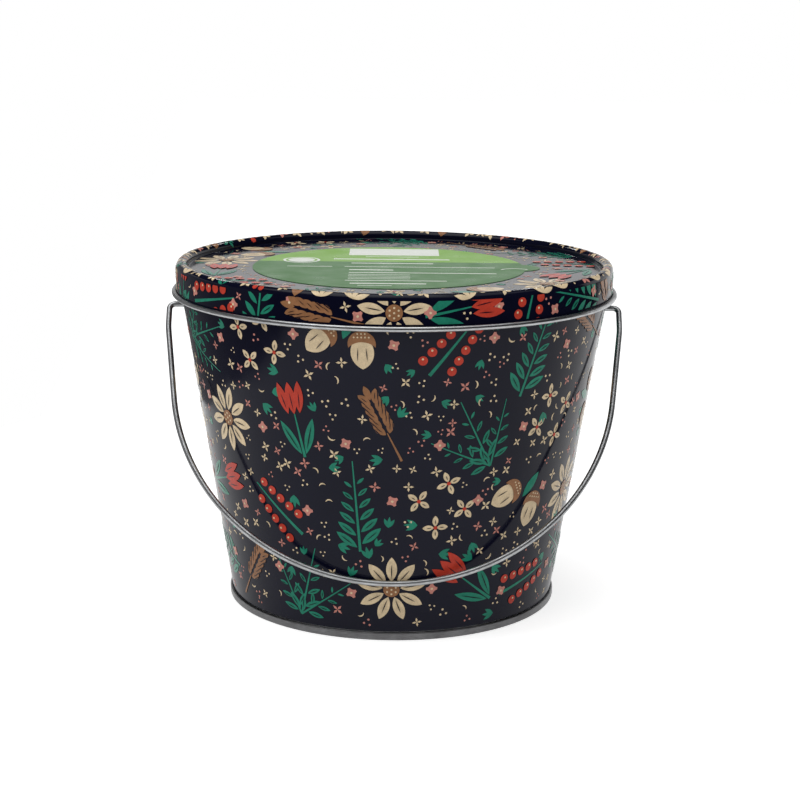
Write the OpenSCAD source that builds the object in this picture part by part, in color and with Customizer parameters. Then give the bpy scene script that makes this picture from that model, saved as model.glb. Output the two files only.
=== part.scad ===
// Candle bucket of printed tinplate, with a slip lid, a wire bail and a poured candle with three wicks.
// Millimetres, +Z up. The origin is the centre of the foot, and the bail hangs at the front, along -Y.

/* [Bucket] */
// Thickness of the tinplate
sheet = 0.28; // [0.22:0.01:0.34]
// Outer diameter of the wall just above the foot seam
foot_d = 131.2; // [120:0.2:145]
// Outer diameter of the upright mouth
mouth_d = 173; // [165:0.5:185]
// Height from the floor to the top of the mouth
mouth_h = 136.7; // [132:0.1:160]
// Upright stretch of wall under the mouth's curl
neck_h = 1.1; // [0.5:0.1:3]
// Outer diameter of the mouth's inward curl
curl_d = 3.44; // [2.8:0.02:4.4]
// Width of the lock seam up the back of the wall
seam_w = 5; // [4:0.5:8]

/* [Foot seam] */
// Height of the double seam that joins the base to the wall
foot_h = 3; // [2.6:0.1:3.8]
// Gap between the folded layers of the double seam
fold_gap = 0.04; // [0.03:0.01:0.08]
// Radius of the bends under the foot, on the middle of the sheet
foot_bend = 0.35; // [0.3:0.01:0.4]
// Height of the base's panel above the floor, to its underside
base_rise = 3; // [2.6:0.1:6]

/* [Lid] */
// Clearance all round between the mouth and the lid
lid_fit = 0.3; // [0.2:0.05:0.5]
// Clearance between the top of the mouth and the lid that rests on it
lid_seat = 0.25; // [0.15:0.05:0.35]
// Height of the lid from the underside of its curled edge to its top
lid_h = 13.4; // [11:0.1:16]
// Depth of the lid's recessed panel
panel_recess = 3.3; // [2.8:0.1:4.5]
// Outer diameter of the lid's curled edge
bead_d = 2.1; // [1.6:0.1:2.6]
// Radius of the bend from the panel to the rim, on the middle of the sheet
panel_bend = 0.6; // [0.4:0.1:0.8]

/* [Label] */
// Diameter of the round label on the lid
label_d = 109; // [80:1:140]
// Distance of the label's centre from the lid's centre, to the left
label_off = 2.3; // [0:0.1:5]
// Thickness of the label
label_t = 0.15; // [0.1:0.05:0.3]
// Radius of the label's pull tab
tab_r = 8; // [5:0.5:10]
// How far the pull tab stands out past the label's edge
tab_out = 6; // [3:0.5:8]

/* [Print] */
// Thickness of each ink
ink_t = 0.03; // [0.02:0.01:0.05]
// Clearance between an ink and what lies under it
ink_gap = 0.02; // [0.01:0.01:0.03]
// Width of bare sheet at the ends of the wall's print, round the bail holes and beside the lock seam
bare_w = 2; // [1:0.5:4]
// Width of bare sheet round the label and over the lid's curled edge
lid_bare_w = 0.5; // [0.3:0.1:1]
// Height of a row of motifs on the wall
row_h = 30; // [26:1:36]
// Diameter of a daisy
daisy_d = 27; // [20:1:30]
// Length of a fern frond
fern_len = 37; // [26:1:40]
// Height of a tulip with its stem
tulip_len = 30; // [22:1:33]
// Length of an acorn's nut
acorn_len = 13; // [9:1:15]
// Length of a sprig of berries
sprig_len = 27; // [18:1:30]
// Length of an ear of wheat
wheat_len = 31; // [22:1:34]
// Diameter of a small blossom
blossom_d = 9.4; // [7:0.2:10.6]
// Width of a small star
star_w = 4.4; // [3:0.2:6]
// Radius of the ring of motifs on the lid's panel
panel_ring = 70; // [64:1:76]

/* [Bail] */
// Diameter of the wire
wire_d = 2.3; // [1.8:0.1:3]
// Distance of the bail holes below the top of the mouth
pivot_drop = 18.7; // [17.5:0.1:24]
// How much nearer to the axis the bail's round is than its legs
leg_in = 3.3; // [1:0.1:8]
// Distance from the bail holes to the centre of the round
bail_drop = 30.5; // [25:0.5:40]
// Clearance of the wire round the lid's curled edge and in front of the wall
swing_gap = 0.25; // [0.15:0.05:0.6]
// Clearance of the wire in its hole, all round
hole_gap = 0.45; // [0.3:0.05:0.8]
// Radius of the tight bends at the holes, on the middle of the wire
tight_bend = 2.2; // [1.8:0.1:3]
// Radius of the soft bend where a leg starts to lean in, on the middle of the wire
soft_bend = 30; // [15:1:50]
// Length of the hooked ends inside the wall
hook_len = 7.5; // [5:0.5:10]
// How much the wire's radius swells where it is bent
bend_swell = 0.01; // [0.01:0.01:0.03]
// How far a straight stretch of wire runs into a bend
bend_lap = 0.1; // [0.05:0.05:0.15]

/* [Candle] */
// Depth of the wax
wax_depth = 50; // [20:1:90]
// Clearance of the wax from the wall
wax_gap = 0.1; // [0.05:0.05:0.3]
// Number of wicks
wicks = 3; // [3:1:3]
// Distance of the wicks from the bucket's axis
wick_ring = 27; // [18:1:40]
// Diameter of a wick
wick_d = 2.6; // [2:0.1:4]
// Length of wick above the wax
wick_out = 7; // [4:0.5:12]
// Diameter of the foot of a wick sustainer
tab_d = 20; // [14:1:26]
// Thickness of the metal of a wick sustainer
tab_sheet = 0.4; // [0.3:0.1:0.8]
// Height of the collar of a wick sustainer
collar_h = 6; // [4:0.5:10]
// Clearance between a wick, its sustainer and the wax
wick_gap = 0.04; // [0.02:0.01:0.1]

/* [Hidden] */
$fn = 96;

navy = [0.03, 0.035, 0.06];
function ink_colour(ink) =
    ink == "cream" ? [0.84, 0.76, 0.62] :
    ink == "green" ? [0.12, 0.5, 0.4] :
    ink == "brown" ? [0.5, 0.36, 0.26] :
    ink == "red" ? [0.72, 0.22, 0.16] : [0.78, 0.5, 0.46];
bare_tin = [0.72, 0.73, 0.74];
pale_wax = [0.95, 0.92, 0.8];
lime = [0.45, 0.7, 0.27];

wire_r = wire_d / 2;
bead_r = bead_d / 2;
curl_r = curl_d / 2;
// How far round the mouth's curl and the lid's outward curl are rolled, in degrees
curl_round = 290;
bead_round = 300;
mouth_r = mouth_d / 2;
foot_r = foot_d / 2;
pivot_z = mouth_h - pivot_drop;

// The wall leans from the top of the foot seam to the upright neck
lean_from = foot_h + sheet;
lean_to = mouth_h - curl_r - neck_h;
wall_lean = atan2(mouth_r - foot_r, lean_to - lean_from);
function wall_mid(z) = foot_r - sheet / 2 + (z - lean_from) * tan(wall_lean);
function wall_out(z) = wall_mid(z) + sheet / 2 / cos(wall_lean);
function wall_in(z) = wall_mid(z) - sheet / 2 / cos(wall_lean);

// The double seam's layers lie one fold apart, from the base's rim outwards through the wall's hook
fold = sheet + fold_gap;
seam_low = sheet / 2 + fold;
hook_turn_z = seam_low + fold;
seam_top_z = foot_h - sheet / 2 - fold;

// The lid's rounded rim is drawn round the centre of the mouth's curl
rim_centre = mouth_r - curl_r;
rim_r = curl_r + lid_fit + sheet;
lid_top = mouth_h + lid_seat + sheet;
lid_low = lid_top - lid_h;
skirt_in = mouth_r + lid_fit;
bead_centre = skirt_in + bead_r;
bead_out = bead_centre + bead_r;
bead_z = lid_low + bead_r;
panel_z = lid_top - panel_recess;

// Each ink lies over the one before it
inks = ["cream", "green", "pink", "brown", "red"];
function ink_low(ink) = ink_gap + search([ink], inks)[0] * (ink_t + ink_gap);
ink_top = len(inks) * (ink_t + ink_gap);
print_low = lean_from + bare_w;
print_high = lean_to - bare_w;
print_rows = round((print_high - print_low) / row_h);
row_step = (print_high - print_low) / print_rows;
seam_turn = asin((seam_w / 2 + bare_w) / foot_r);
// The motifs are cut out of a film of ink by prisms, deep enough to reach through it where the wall is round
prism_h = 8;

// The bail's legs stand clear of the lid's curled edge, so that it swings over the lid
leg_x = bead_out + wire_r + swing_gap;
bail_r = leg_x - leg_in;
leg_straight = bead_z - pivot_z + bead_r + swing_gap;
leg_reach = [leg_x - soft_bend, bail_drop - leg_straight];
leg_turn = acos((bail_r - soft_bend) / norm(leg_reach)) - atan2(leg_reach[1], leg_reach[0]);
hook_x = wall_in(pivot_z - hook_len - wire_r) - wire_r - swing_gap;
// At rest the bail leans on the front of the wall
bail_len = bail_drop + bail_r;
bail_off = wall_out(pivot_z) * cos(wall_lean) + ink_top + wire_r + swing_gap;
bail_lean = asin(bail_off / bail_len) - wall_lean;

base_top = base_rise + sheet;
wax_low = base_top + wick_gap;
wax_top = base_top + wax_depth;
collar_d = wick_d + 2 * (wick_gap + tab_sheet);

// A formed sheet is drawn along the middle of its thickness. Each entry is a point and the normal there.
function bend(centre, radius, from, to) =
    let (steps = ceil(abs(to - from) / 12), side = to > from ? -1 : 1)
    [for (i = [0:steps]) let (a = from + (to - from) * i / steps, out = [cos(a), sin(a)])
        [centre + radius * out, side * out]];
function corner(point, heading, next) =
    let (half = (next - heading) / 2, a = heading + half + 90)
    [[point, [cos(a), sin(a)] / cos(half)]];
function stop(point, heading) = corner(point, heading, heading);

module formed_sheet(path) {
    rotate_extrude($fn = 180)
        polygon(concat(
            [for (q = path) q[0] + q[1] * sheet / 2],
            [for (i = [len(path) - 1:-1:0]) path[i][0] - path[i][1] * sheet / 2]));
}

// From the top of the hooked foot, round under the base's hook, up the wall and round the mouth's curl
function wall_path() = concat(
    stop([foot_r - sheet / 2 + 2 * fold, foot_h - sheet - 1.5 * fold], -90),
    bend([foot_r - sheet / 2 + fold, hook_turn_z], fold, 0, -180),
    corner([foot_r - sheet / 2, lean_from], 90, 90 - wall_lean),
    corner([mouth_r - sheet / 2, lean_to], 90 - wall_lean, 90),
    bend([rim_centre, mouth_h - curl_r], curl_r - sheet / 2, 0, curl_round));

// The lock seam is four layers of the wall's own sheet, folded to the inside
module lock_seam(grow) {
    low = base_top + sheet;
    rise = (lean_to - curl_r - low) / cos(wall_lean);
    translate([0, wall_mid(low), low])
        rotate([-wall_lean, 0, 0])
            translate([-seam_w / 2 - grow, -sheet / 2 - 3 * sheet - grow, -grow])
                cube([seam_w + 2 * grow, 3.5 * sheet + grow, rise + grow]);
}

module bucket_wall() {
    color(navy)
        difference() {
            union() {
                formed_sheet(wall_path());
                lock_seam(0);
            }
            translate([0, 0, pivot_z])
                rotate([0, 90, 0])
                    cylinder(r = wire_r + hole_gap, h = 2 * mouth_r, center = true, $fn = 48);
        }
}

// A leaf, petal or grain between two arcs, from the origin up along Y
module leaf(long, wide) {
    arc_r = (long * long + wide * wide) / 4 / wide;
    translate([0, long / 2])
        intersection() {
            translate([arc_r - wide / 2, 0]) circle(arc_r);
            translate([wide / 2 - arc_r, 0]) circle(arc_r);
        }
}

// A straight stem that narrows upwards, from the origin up along Y
module stem(long, wide) {
    polygon([[-wide / 2, 0], [wide / 2, 0], [wide / 5, long], [-wide / 5, long]]);
}

// Each motif draws only what is printed in the ink that is asked for
module daisy(ink) {
    petals = 9;
    disc_r = 0.23 * daisy_d / 2;
    if (ink == "cream")
        for (i = [1:petals])
            rotate(360 / petals * i)
                translate([0, 1.1 * disc_r]) leaf(daisy_d / 2 - 1.1 * disc_r, 0.155 * daisy_d);
    if (ink == "brown") circle(disc_r);
}

module frond(frond_len, pairs) {
    step = 0.8 * frond_len / pairs;
    stem(frond_len, 0.03 * frond_len);
    for (i = [1:pairs], side = [-1, 1]) {
        long = (0.3 - 0.2 * i / pairs) * frond_len;
        translate([0.027 * frond_len * side, step * (i - 0.5 + 0.15 * side)])
            rotate(-50 * side) leaf(long, 0.32 * long);
    }
}

module fern(ink) {
    if (ink == "green") translate([0, -fern_len / 2]) frond(fern_len, 6);
}

// Three short fronds that fan out from one foot
module spray(ink) {
    if (ink == "green")
        translate([0, -0.38 * fern_len])
            for (side = [-1:1])
                rotate(-38 * side) frond((0.82 - 0.1 * abs(side)) * fern_len, 4);
}

module tulip(ink) {
    cup = 0.42 * tulip_len;
    translate([0, -tulip_len / 2]) {
        if (ink == "green") {
            stem(tulip_len - cup, 0.04 * tulip_len);
            for (side = [-1, 1])
                translate([0.9 * side, 0.04 * tulip_len]) rotate(-24 * side) leaf(0.5 * tulip_len, 0.12 * tulip_len);
        }
        if (ink == "red")
            translate([0, tulip_len - 1.02 * cup]) {
                leaf(cup, 0.34 * cup);
                for (side = [-1, 1])
                    translate([0.2 * cup * side, 0.02 * cup]) rotate(-9 * side) leaf(cup, 0.3 * cup);
            }
    }
}

module acorn(ink) {
    nut_w = 0.66 * acorn_len;
    for (side = [-1, 1])
        translate([0.62 * acorn_len * side, 0.1 * acorn_len * side])
            rotate(180 + 24 * side)
                translate([0, -0.45 * acorn_len]) {
                    if (ink == "cream") leaf(acorn_len, nut_w);
                    if (ink == "brown")
                        difference() {
                            translate([0, 0.26 * acorn_len]) circle(0.6 * nut_w);
                            translate([0, 0.72 * acorn_len]) circle(0.8 * nut_w);
                        }
                }
    if (ink == "green") translate([0, 0.2 * acorn_len]) leaf(0.9 * acorn_len, 0.3 * acorn_len);
}

module berries(ink) {
    count = 5;
    if (ink == "green") translate([0, -sprig_len / 2]) stem(sprig_len, 0.05 * sprig_len);
    if (ink == "red")
        for (i = [1:count], side = [-1, 1])
            translate([side * (0.13 + 0.02 * (count - i)) * sprig_len, (0.17 * i - 0.5 + 0.06 * side) * sprig_len])
                circle(0.066 * sprig_len);
}

module wheat(ink) {
    pairs = 5;
    grain = 0.19 * wheat_len;
    if (ink == "brown")
        translate([0, -wheat_len / 2]) {
            stem(0.4 * wheat_len, 0.03 * wheat_len);
            for (i = [1:pairs], side = [-1, 1])
                translate([0.025 * wheat_len * side, wheat_len * (0.28 + 0.105 * i)])
                    rotate(-28 * side) leaf(grain, 0.09 * wheat_len);
            translate([0, 0.86 * wheat_len]) leaf(grain, 0.08 * wheat_len);
        }
}

module blossom(ink) {
    petals = 4;
    if (ink == "cream")
        for (i = [1:petals])
            rotate(360 / petals * i) translate([0, 0.06 * blossom_d]) leaf(0.46 * blossom_d, 0.24 * blossom_d);
    if (ink == "red") circle(0.08 * blossom_d);
}

module blossoms(ink) {
    count = 4;
    for (i = [1:count])
        rotate(360 / count * i)
            translate([0.98 * blossom_d, 0]) rotate(35 * i) blossom(ink);
}

module star(ink) {
    if (ink == "pink")
        difference() {
            square(star_w, center = true);
            for (side = [-1, 1], rise = [-1, 1])
                translate([0.56 * star_w * side, 0.56 * star_w * rise]) circle(0.45 * star_w);
        }
}

kinds = 8;
module motif(kind, ink) {
    if (kind == 0) daisy(ink);
    if (kind == 1) fern(ink);
    if (kind == 2) blossoms(ink);
    if (kind == 3) tulip(ink);
    if (kind == 4) wheat(ink);
    if (kind == 5) acorn(ink);
    if (kind == 6) berries(ink);
    if (kind == 7) spray(ink);
}

// A steady spread of values from -1 to 1, which keeps the motifs from standing in ranks
function vary(n) = sin(137.5 * n);

// The ink lies as a film on the wall. It stops short of the foot, the mouth, the lock seam and the bail holes.
module wall_film(ink) {
    low = ink_low(ink);
    difference() {
        rotate([0, 0, 90 + seam_turn])
            rotate_extrude(angle = 360 - 2 * seam_turn, $fn = 180)
                polygon([for (q = [[print_low, low], [print_high, low], [print_high, low + ink_t],
                                   [print_low, low + ink_t]])
                    [wall_out(q[0]) + q[1] / cos(wall_lean), q[0]]]);
        translate([0, 0, pivot_z])
            rotate([0, 90, 0])
                cylinder(r = wire_r + hole_gap + bare_w, h = 2.2 * mouth_r, center = true, $fn = 48);
    }
}

module on_wall(turn, z, tilt) {
    rotate([0, 0, turn])
        translate([0, -wall_out(z), z])
            rotate([90 + wall_lean, 0, 0])
                translate([0, 0, -prism_h / 2])
                    linear_extrude(prism_h) rotate(tilt) children();
}

module wall_print(ink) {
    columns = 14;
    color(ink_colour(ink)) intersection() {
        wall_film(ink);
        union() {
            for (j = [0:print_rows - 1], i = [0:columns - 1]) {
                turn = 360 / columns * (i + (j % 2) / 2);
                z = print_low + row_step * (j + 0.5);
                on_wall(turn + 2.5 * vary(5 * i + j), z + 3 * vary(i + 3 * j), 75 * vary(i + 4 * j))
                    motif((3 * i + 2 * j) % kinds, ink);
                on_wall(turn + 180 / columns, z + 5 * vary(2 * i + j), 30 * i) star(ink);
            }
        }
    }
}

// From the middle of the panel, down inside the wall, under its hook, up outside and down again inside the hook
function base_path() =
    let (inner = foot_r - sheet / 2 - fold, outer = inner + 4 * fold)
    concat(
        stop([0, base_rise + sheet / 2], 0),
        bend([inner - panel_bend, base_rise + sheet / 2 - panel_bend], panel_bend, 90, 0),
        bend([inner + foot_bend, sheet / 2 + foot_bend], foot_bend, 180, 270),
        bend([outer - foot_bend, sheet / 2 + foot_bend], foot_bend, 270, 360),
        bend([outer - fold, seam_top_z], fold, 0, 180),
        stop([outer - 2 * fold, hook_turn_z + sheet / 2], -90));

module bucket_base() {
    color(bare_tin) formed_sheet(base_path());
}

// From the middle of the panel, up the inside of the rim, over it, down the skirt and round the outward curl
function lid_path() = concat(
    stop([0, panel_z - sheet / 2], 0),
    bend([rim_centre - rim_r + sheet / 2 - panel_bend, panel_z - sheet / 2 + panel_bend], panel_bend, 270, 360),
    bend([rim_centre, lid_top - rim_r], rim_r - sheet / 2, 180, 0),
    bend([bead_centre, bead_z], bead_r - sheet / 2, 180, 180 + bead_round));

module lid() {
    color(navy) formed_sheet(lid_path());
}

module label_shape(grow) {
    translate([-label_off, 0]) {
        circle(d = label_d + 2 * grow);
        translate([label_d / 2 + tab_out - tab_r, 0]) circle(r = tab_r + grow);
    }
}

module lid_label() {
    color(lime)
        translate([0, 0, panel_z])
            linear_extrude(label_t) label_shape(0);
}

module panel_print(ink) {
    columns = 14;
    flat_r = rim_centre - rim_r - panel_bend;
    translate([0, 0, panel_z + ink_low(ink)])
        linear_extrude(ink_t)
            intersection() {
                difference() {
                    circle(flat_r);
                    label_shape(lid_bare_w);
                }
                union() {
                    for (i = [0:columns - 1]) {
                        rotate(360 / columns * (i + 0.2 * vary(3 * i)))
                            translate([0, -panel_ring]) rotate(80 * vary(i)) motif((3 * i + 2) % kinds, ink);
                        rotate(360 / columns * (i + 0.5))
                            translate([0, -panel_ring + 5 * vary(2 * i)]) rotate(25 * i) star(ink);
                    }
                }
            }
}

module skirt_print(ink) {
    columns = 21;
    low = skirt_in + sheet + ink_low(ink);
    band_low = bead_z + bead_r + lid_bare_w;
    band_high = lid_top - rim_r;
    intersection() {
        rotate_extrude($fn = 180)
            translate([low, band_low]) square([ink_t, band_high - band_low]);
        union() {
            for (i = [0:columns - 1])
                rotate([0, 0, 360 / columns * i])
                    translate([0, -low + prism_h / 2, (band_low + band_high) / 2 + 2 * vary(i)])
                        rotate([90, 0, 0])
                            linear_extrude(prism_h) {
                                rotate(80 * vary(2 * i)) motif((3 * i) % kinds, ink);
                                translate([skirt_in * sin(180 / columns), 0]) rotate(25 * i) star(ink);
                            }
        }
    }
}

module lid_print(ink) {
    color(ink_colour(ink)) {
        panel_print(ink);
        skirt_print(ink);
    }
}

// A straight stretch of the bail's wire, between two points of its own plane. It runs a little into the bends.
module wire_run(from, to) {
    along = to - from;
    translate([from[0], 0, from[1]])
        rotate([0, atan2(along[0], along[1]), 0])
            translate([0, 0, -bend_lap])
                cylinder(r = wire_r, h = norm(along) + 2 * bend_lap, $fn = 32);
}

// A bent stretch of the bail's wire, counter-clockwise in its own plane. Bending swells the wire a little.
module wire_bend(centre, radius, from, to) {
    translate([centre[0], 0, centre[1]])
        rotate([90, 0, 0])
            rotate([0, 0, from])
                rotate_extrude(angle = to - from, $fn = 180)
                    translate([radius, 0]) circle(r = wire_r + bend_swell, $fn = 32);
}

// One leg, from its hooked end inside the wall to the start of the round
module bail_leg() {
    soft_end = [leg_x - soft_bend * (1 - cos(leg_turn)), -leg_straight - soft_bend * sin(leg_turn)];
    round_start = [bail_r * cos(leg_turn), -bail_drop - bail_r * sin(leg_turn)];
    wire_run([hook_x, -hook_len], [hook_x, -tight_bend]);
    wire_bend([hook_x + tight_bend, -tight_bend], tight_bend, 90, 180);
    wire_run([hook_x + tight_bend, 0], [leg_x - tight_bend, 0]);
    wire_bend([leg_x - tight_bend, -tight_bend], tight_bend, 0, 90);
    wire_run([leg_x, -tight_bend], [leg_x, -leg_straight]);
    wire_bend([leg_x - soft_bend, -leg_straight], soft_bend, -leg_turn, 0);
    wire_run(soft_end, round_start);
}

module bail() {
    color(bare_tin)
        translate([0, 0, pivot_z])
            rotate([-bail_lean, 0, 0]) {
                bail_leg();
                mirror([1, 0, 0]) bail_leg();
                wire_bend([0, -bail_drop], bail_r, 180 + leg_turn, 360 - leg_turn);
            }
}

module at_wick(n) {
    rotate([0, 0, 90 + 360 / wicks * (n - 1)])
        translate([wick_ring, 0, 0]) children();
}

module sustainer_body(grow) {
    translate([0, 0, base_top]) {
        cylinder(d = tab_d + 2 * grow, h = tab_sheet + grow, $fn = 64);
        cylinder(d = collar_d + 2 * grow, h = collar_h + grow, $fn = 48);
    }
}

module wick_sustainer(n) {
    color(bare_tin)
        at_wick(n)
            difference() {
                sustainer_body(0);
                translate([0, 0, base_top + tab_sheet])
                    cylinder(d = wick_d + 2 * wick_gap, h = collar_h, $fn = 48);
            }
}

module wick(n) {
    foot = base_top + tab_sheet;
    color("white")
        at_wick(n)
            translate([0, 0, foot])
                cylinder(d = wick_d, h = wax_top + wick_out - foot, $fn = 48);
}

module wax() {
    color(pale_wax)
        difference() {
            translate([0, 0, wax_low])
                cylinder(r1 = wall_in(wax_low) - wax_gap, r2 = wall_in(wax_top) - wax_gap,
                         h = wax_top - wax_low, $fn = 180);
            lock_seam(wax_gap);
            for (n = [1:wicks])
                at_wick(n) {
                    sustainer_body(wick_gap);
                    translate([0, 0, base_top]) cylinder(d = wick_d + 2 * wick_gap, h = wax_top, $fn = 48);
                }
        }
}

bucket_wall();
wall_print("cream");  // wall_print_cream
wall_print("green");  // wall_print_green
wall_print("pink");  // wall_print_pink
wall_print("brown");  // wall_print_brown
wall_print("red");  // wall_print_red
bucket_base();
wax();
wick(1);  // wick_1
wick(2);  // wick_2
wick(3);  // wick_3
wick_sustainer(1);  // wick_sustainer_1
wick_sustainer(2);  // wick_sustainer_2
wick_sustainer(3);  // wick_sustainer_3
bail();
lid();
lid_print("cream");  // lid_print_cream
lid_print("green");  // lid_print_green
lid_print("pink");  // lid_print_pink
lid_print("brown");  // lid_print_brown
lid_print("red");  // lid_print_red
lid_label();
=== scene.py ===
"""Looks of a candle bucket: printed tinplate wall, slip lid, wire bail, label and a poured candle.

Every size is in metres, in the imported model's own frame: +Z up, and the bail hangs at the front, along -Y.
"""
import logging
import math
from dataclasses import dataclass, field, replace
from enum import Enum

import bmesh
import bpy
from mathutils import Matrix, Vector


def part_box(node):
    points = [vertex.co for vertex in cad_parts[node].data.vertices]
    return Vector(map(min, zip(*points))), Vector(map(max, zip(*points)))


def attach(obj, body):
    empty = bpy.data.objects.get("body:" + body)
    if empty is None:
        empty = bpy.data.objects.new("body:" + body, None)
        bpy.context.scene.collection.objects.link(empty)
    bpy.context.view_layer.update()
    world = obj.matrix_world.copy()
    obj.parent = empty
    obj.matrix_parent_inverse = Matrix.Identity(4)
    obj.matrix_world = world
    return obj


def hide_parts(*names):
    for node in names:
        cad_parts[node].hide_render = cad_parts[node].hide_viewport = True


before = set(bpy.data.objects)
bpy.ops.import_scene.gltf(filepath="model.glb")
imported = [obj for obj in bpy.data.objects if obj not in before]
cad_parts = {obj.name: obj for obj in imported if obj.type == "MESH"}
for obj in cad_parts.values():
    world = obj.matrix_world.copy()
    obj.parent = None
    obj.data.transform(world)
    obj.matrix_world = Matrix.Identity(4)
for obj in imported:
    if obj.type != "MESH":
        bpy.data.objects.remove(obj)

log = logging.getLogger("bucket")

Point = tuple[float, float]
Place = tuple[float, float, float]
Band = tuple[float, float, float, float]
Colour = Place
Outlines = list[list[Point]]
Thing = bpy.types.Object
Material = bpy.types.Material
Socket = bpy.types.NodeSocket

MM = 0.001

# The small motifs lie straight on the sheet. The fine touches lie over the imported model's topmost ink, and
# keep a margin to the print's ends.
INK_T = 0.03 * MM
FILM_LIFT = 0.04 * MM
TOUCH_LIFT = 0.26 * MM
END_MARGIN = 0.6 * MM

# Nearly all of a noise lies between these values.
NOISE_SPAN = (0.3, 0.7)
VARNISH_SPECULAR = 0.15
VARNISH_GRAIN = 900
VARNISH_DEPTH = 0.004 * MM
VARNISH_STRENGTH = 0.35


class Body(Enum):
    """The bodies that pieces move with."""

    BUCKET = "bucket"
    LID = "lid"
    BAIL = "bail"


class Ink(Enum):
    """The inks of the print, each with its colour as it looks in daylight, from 0 to 255."""

    CREAM = (222, 200, 164)
    GREEN = (34, 128, 104)
    PINK = (201, 134, 122)
    BROWN = (148, 104, 71)
    RED = (190, 62, 46)


def paint(red: float, green: float, blue: float) -> Colour:
    """Turns a colour from 0 to 255 into the linear values that the shaders take.

    Args:
        red: Share of red, from 0 to 255.
        green: Share of green, from 0 to 255.
        blue: Share of blue, from 0 to 255.

    Returns:
        The linear colour.
    """

    def linear(value: float) -> float:
        """Undoes the screen's curve for one channel."""
        share = value / 255
        return share / 12.92 if share <= 0.04045 else ((share + 0.055) / 1.055) ** 2.4

    return linear(red), linear(green), linear(blue)


class Tree:
    """A node tree in the making."""

    def __init__(self, tree: bpy.types.NodeTree) -> None:
        """Takes the tree to build in."""
        self.tree = tree

    def node(self, kind: str, settings: dict[str, object] | None = None, **inputs: object) -> bpy.types.Node:
        """Adds a node and fills its inputs.

        Args:
            kind: The node's type.
            settings: Properties of the node.
            inputs: Input names with underscores for spaces. A socket is linked and anything else is set.

        Returns:
            The new node.
        """
        made = self.tree.nodes.new(kind)
        for name, value in (settings or {}).items():
            setattr(made, name, value)
        for name, value in inputs.items():
            self.feed(made.inputs[name.replace("_", " ")], value)
        return made

    def out(self, kind: str, settings: dict[str, object] | None = None, **inputs: object) -> Socket:
        """Adds a node in the same way and gives its first output."""
        return self.node(kind, settings, **inputs).outputs[0]

    def feed(self, socket: Socket, value: object) -> None:
        """Links a socket to another, or sets its value.

        Args:
            socket: The input to feed.
            value: An output socket, or a value. A colour has three numbers.
        """
        if isinstance(value, Socket):
            self.tree.links.new(value, socket)
        else:
            socket.default_value = (*value, 1) if socket.type == "RGBA" else value

    def maths(self, what: str, *values: object) -> Socket:
        """Adds a Math node.

        Args:
            what: The operation.
            values: Its inputs, sockets or numbers.

        Returns:
            The node's result.
        """
        made = self.node("ShaderNodeMath", {"operation": what})
        for socket, value in zip(made.inputs, values):
            self.feed(socket, value)
        return made.outputs[0]


class Shades(Tree):
    """A material in the making: a Principled shader and the nodes that feed it."""

    def __init__(self, name: str) -> None:
        """Starts the material.

        Args:
            name: The material's name.
        """
        self.material = bpy.data.materials.new(name)
        self.material.use_nodes = True
        super().__init__(self.material.node_tree)
        self.shader = self.tree.nodes["Principled BSDF"]
        self.place = self.node("ShaderNodeTexCoord").outputs["Object"]

    def set(self, **values: object) -> None:
        """Feeds the shader's own sockets, by their names with underscores for spaces."""
        for name, value in values.items():
            self.feed(self.shader.inputs[name.replace("_", " ")], value)

    def axes(self) -> list[Socket]:
        """Splits the place on the object into X, Y and Z."""
        return list(self.node("ShaderNodeSeparateXYZ", Vector=self.place).outputs)

    def noise(self, scale: float, detail: float, stretch: Place = (1, 1, 1)) -> Socket:
        """Adds fractal noise around one half on the object's own places, by its waves in a metre."""
        mapped = self.out("ShaderNodeMapping", Vector=self.place, Scale=stretch)
        return self.node("ShaderNodeTexNoise", Vector=mapped, Scale=scale, Detail=detail).outputs["Fac"]

    def ranged(self, value: Socket, low: float, high: float, to_low: float = 0.0, to_high: float = 1.0
               ) -> Socket:
        """Maps a value from one range to another, clamped.

        Args:
            value: The value to map.
            low: Start of its range.
            high: End of its range.
            to_low: What the start becomes.
            to_high: What the end becomes.

        Returns:
            The mapped value.
        """
        made = self.node("ShaderNodeMapRange")
        for socket, item in zip(made.inputs, (value, low, high, to_low, to_high)):
            self.feed(socket, item)
        return made.outputs[0]

    def drift(self, scale: float, detail: float, low: float = 0.0, high: float = 1.0) -> Socket:
        """Gives a value that drifts over the surface from one end to another, by its waves in a metre."""
        return self.ranged(self.noise(scale, detail), *NOISE_SPAN, low, high)

    def blend(self, first: Socket, share: float, second: Socket) -> Socket:
        """Adds up two values, the first by its share and the second by what is left."""
        return self.maths("MULTIPLY_ADD", first, share, self.maths("MULTIPLY", second, 1 - share))

    def between(self, factor: Socket, low: object, high: object) -> Socket:
        """Mixes two colours.

        Args:
            factor: Share of the second colour.
            low: First colour or socket.
            high: Second colour or socket.

        Returns:
            The mixed colour.
        """
        mix = self.node("ShaderNodeMix", {"data_type": "RGBA"})
        sockets = [mix.inputs[0]] + [s for s in mix.inputs if s.type == "RGBA"]
        for socket, value in zip(sockets, (factor, low, high)):
            self.feed(socket, value)
        return [s for s in mix.outputs if s.type == "RGBA"][0]

    def tints(self, factor: Socket, colour: Colour, dark: float, light: float = 1.0) -> Socket:
        """Goes by a share from a dark to a light tint of a colour, each a factor on the colour."""
        low, high = (tuple(min(1.0, share * c) for c in colour) for share in (dark, light))
        return self.between(factor, low, high)

    def bump(self, height: Socket, depth: float, strength: float) -> None:
        """Raises the surface by a height from 0 to 1, in the shading alone, where 1 stands for the depth."""
        self.set(Normal=self.out("ShaderNodeBump", Height=height, Distance=depth, Strength=strength))


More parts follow.
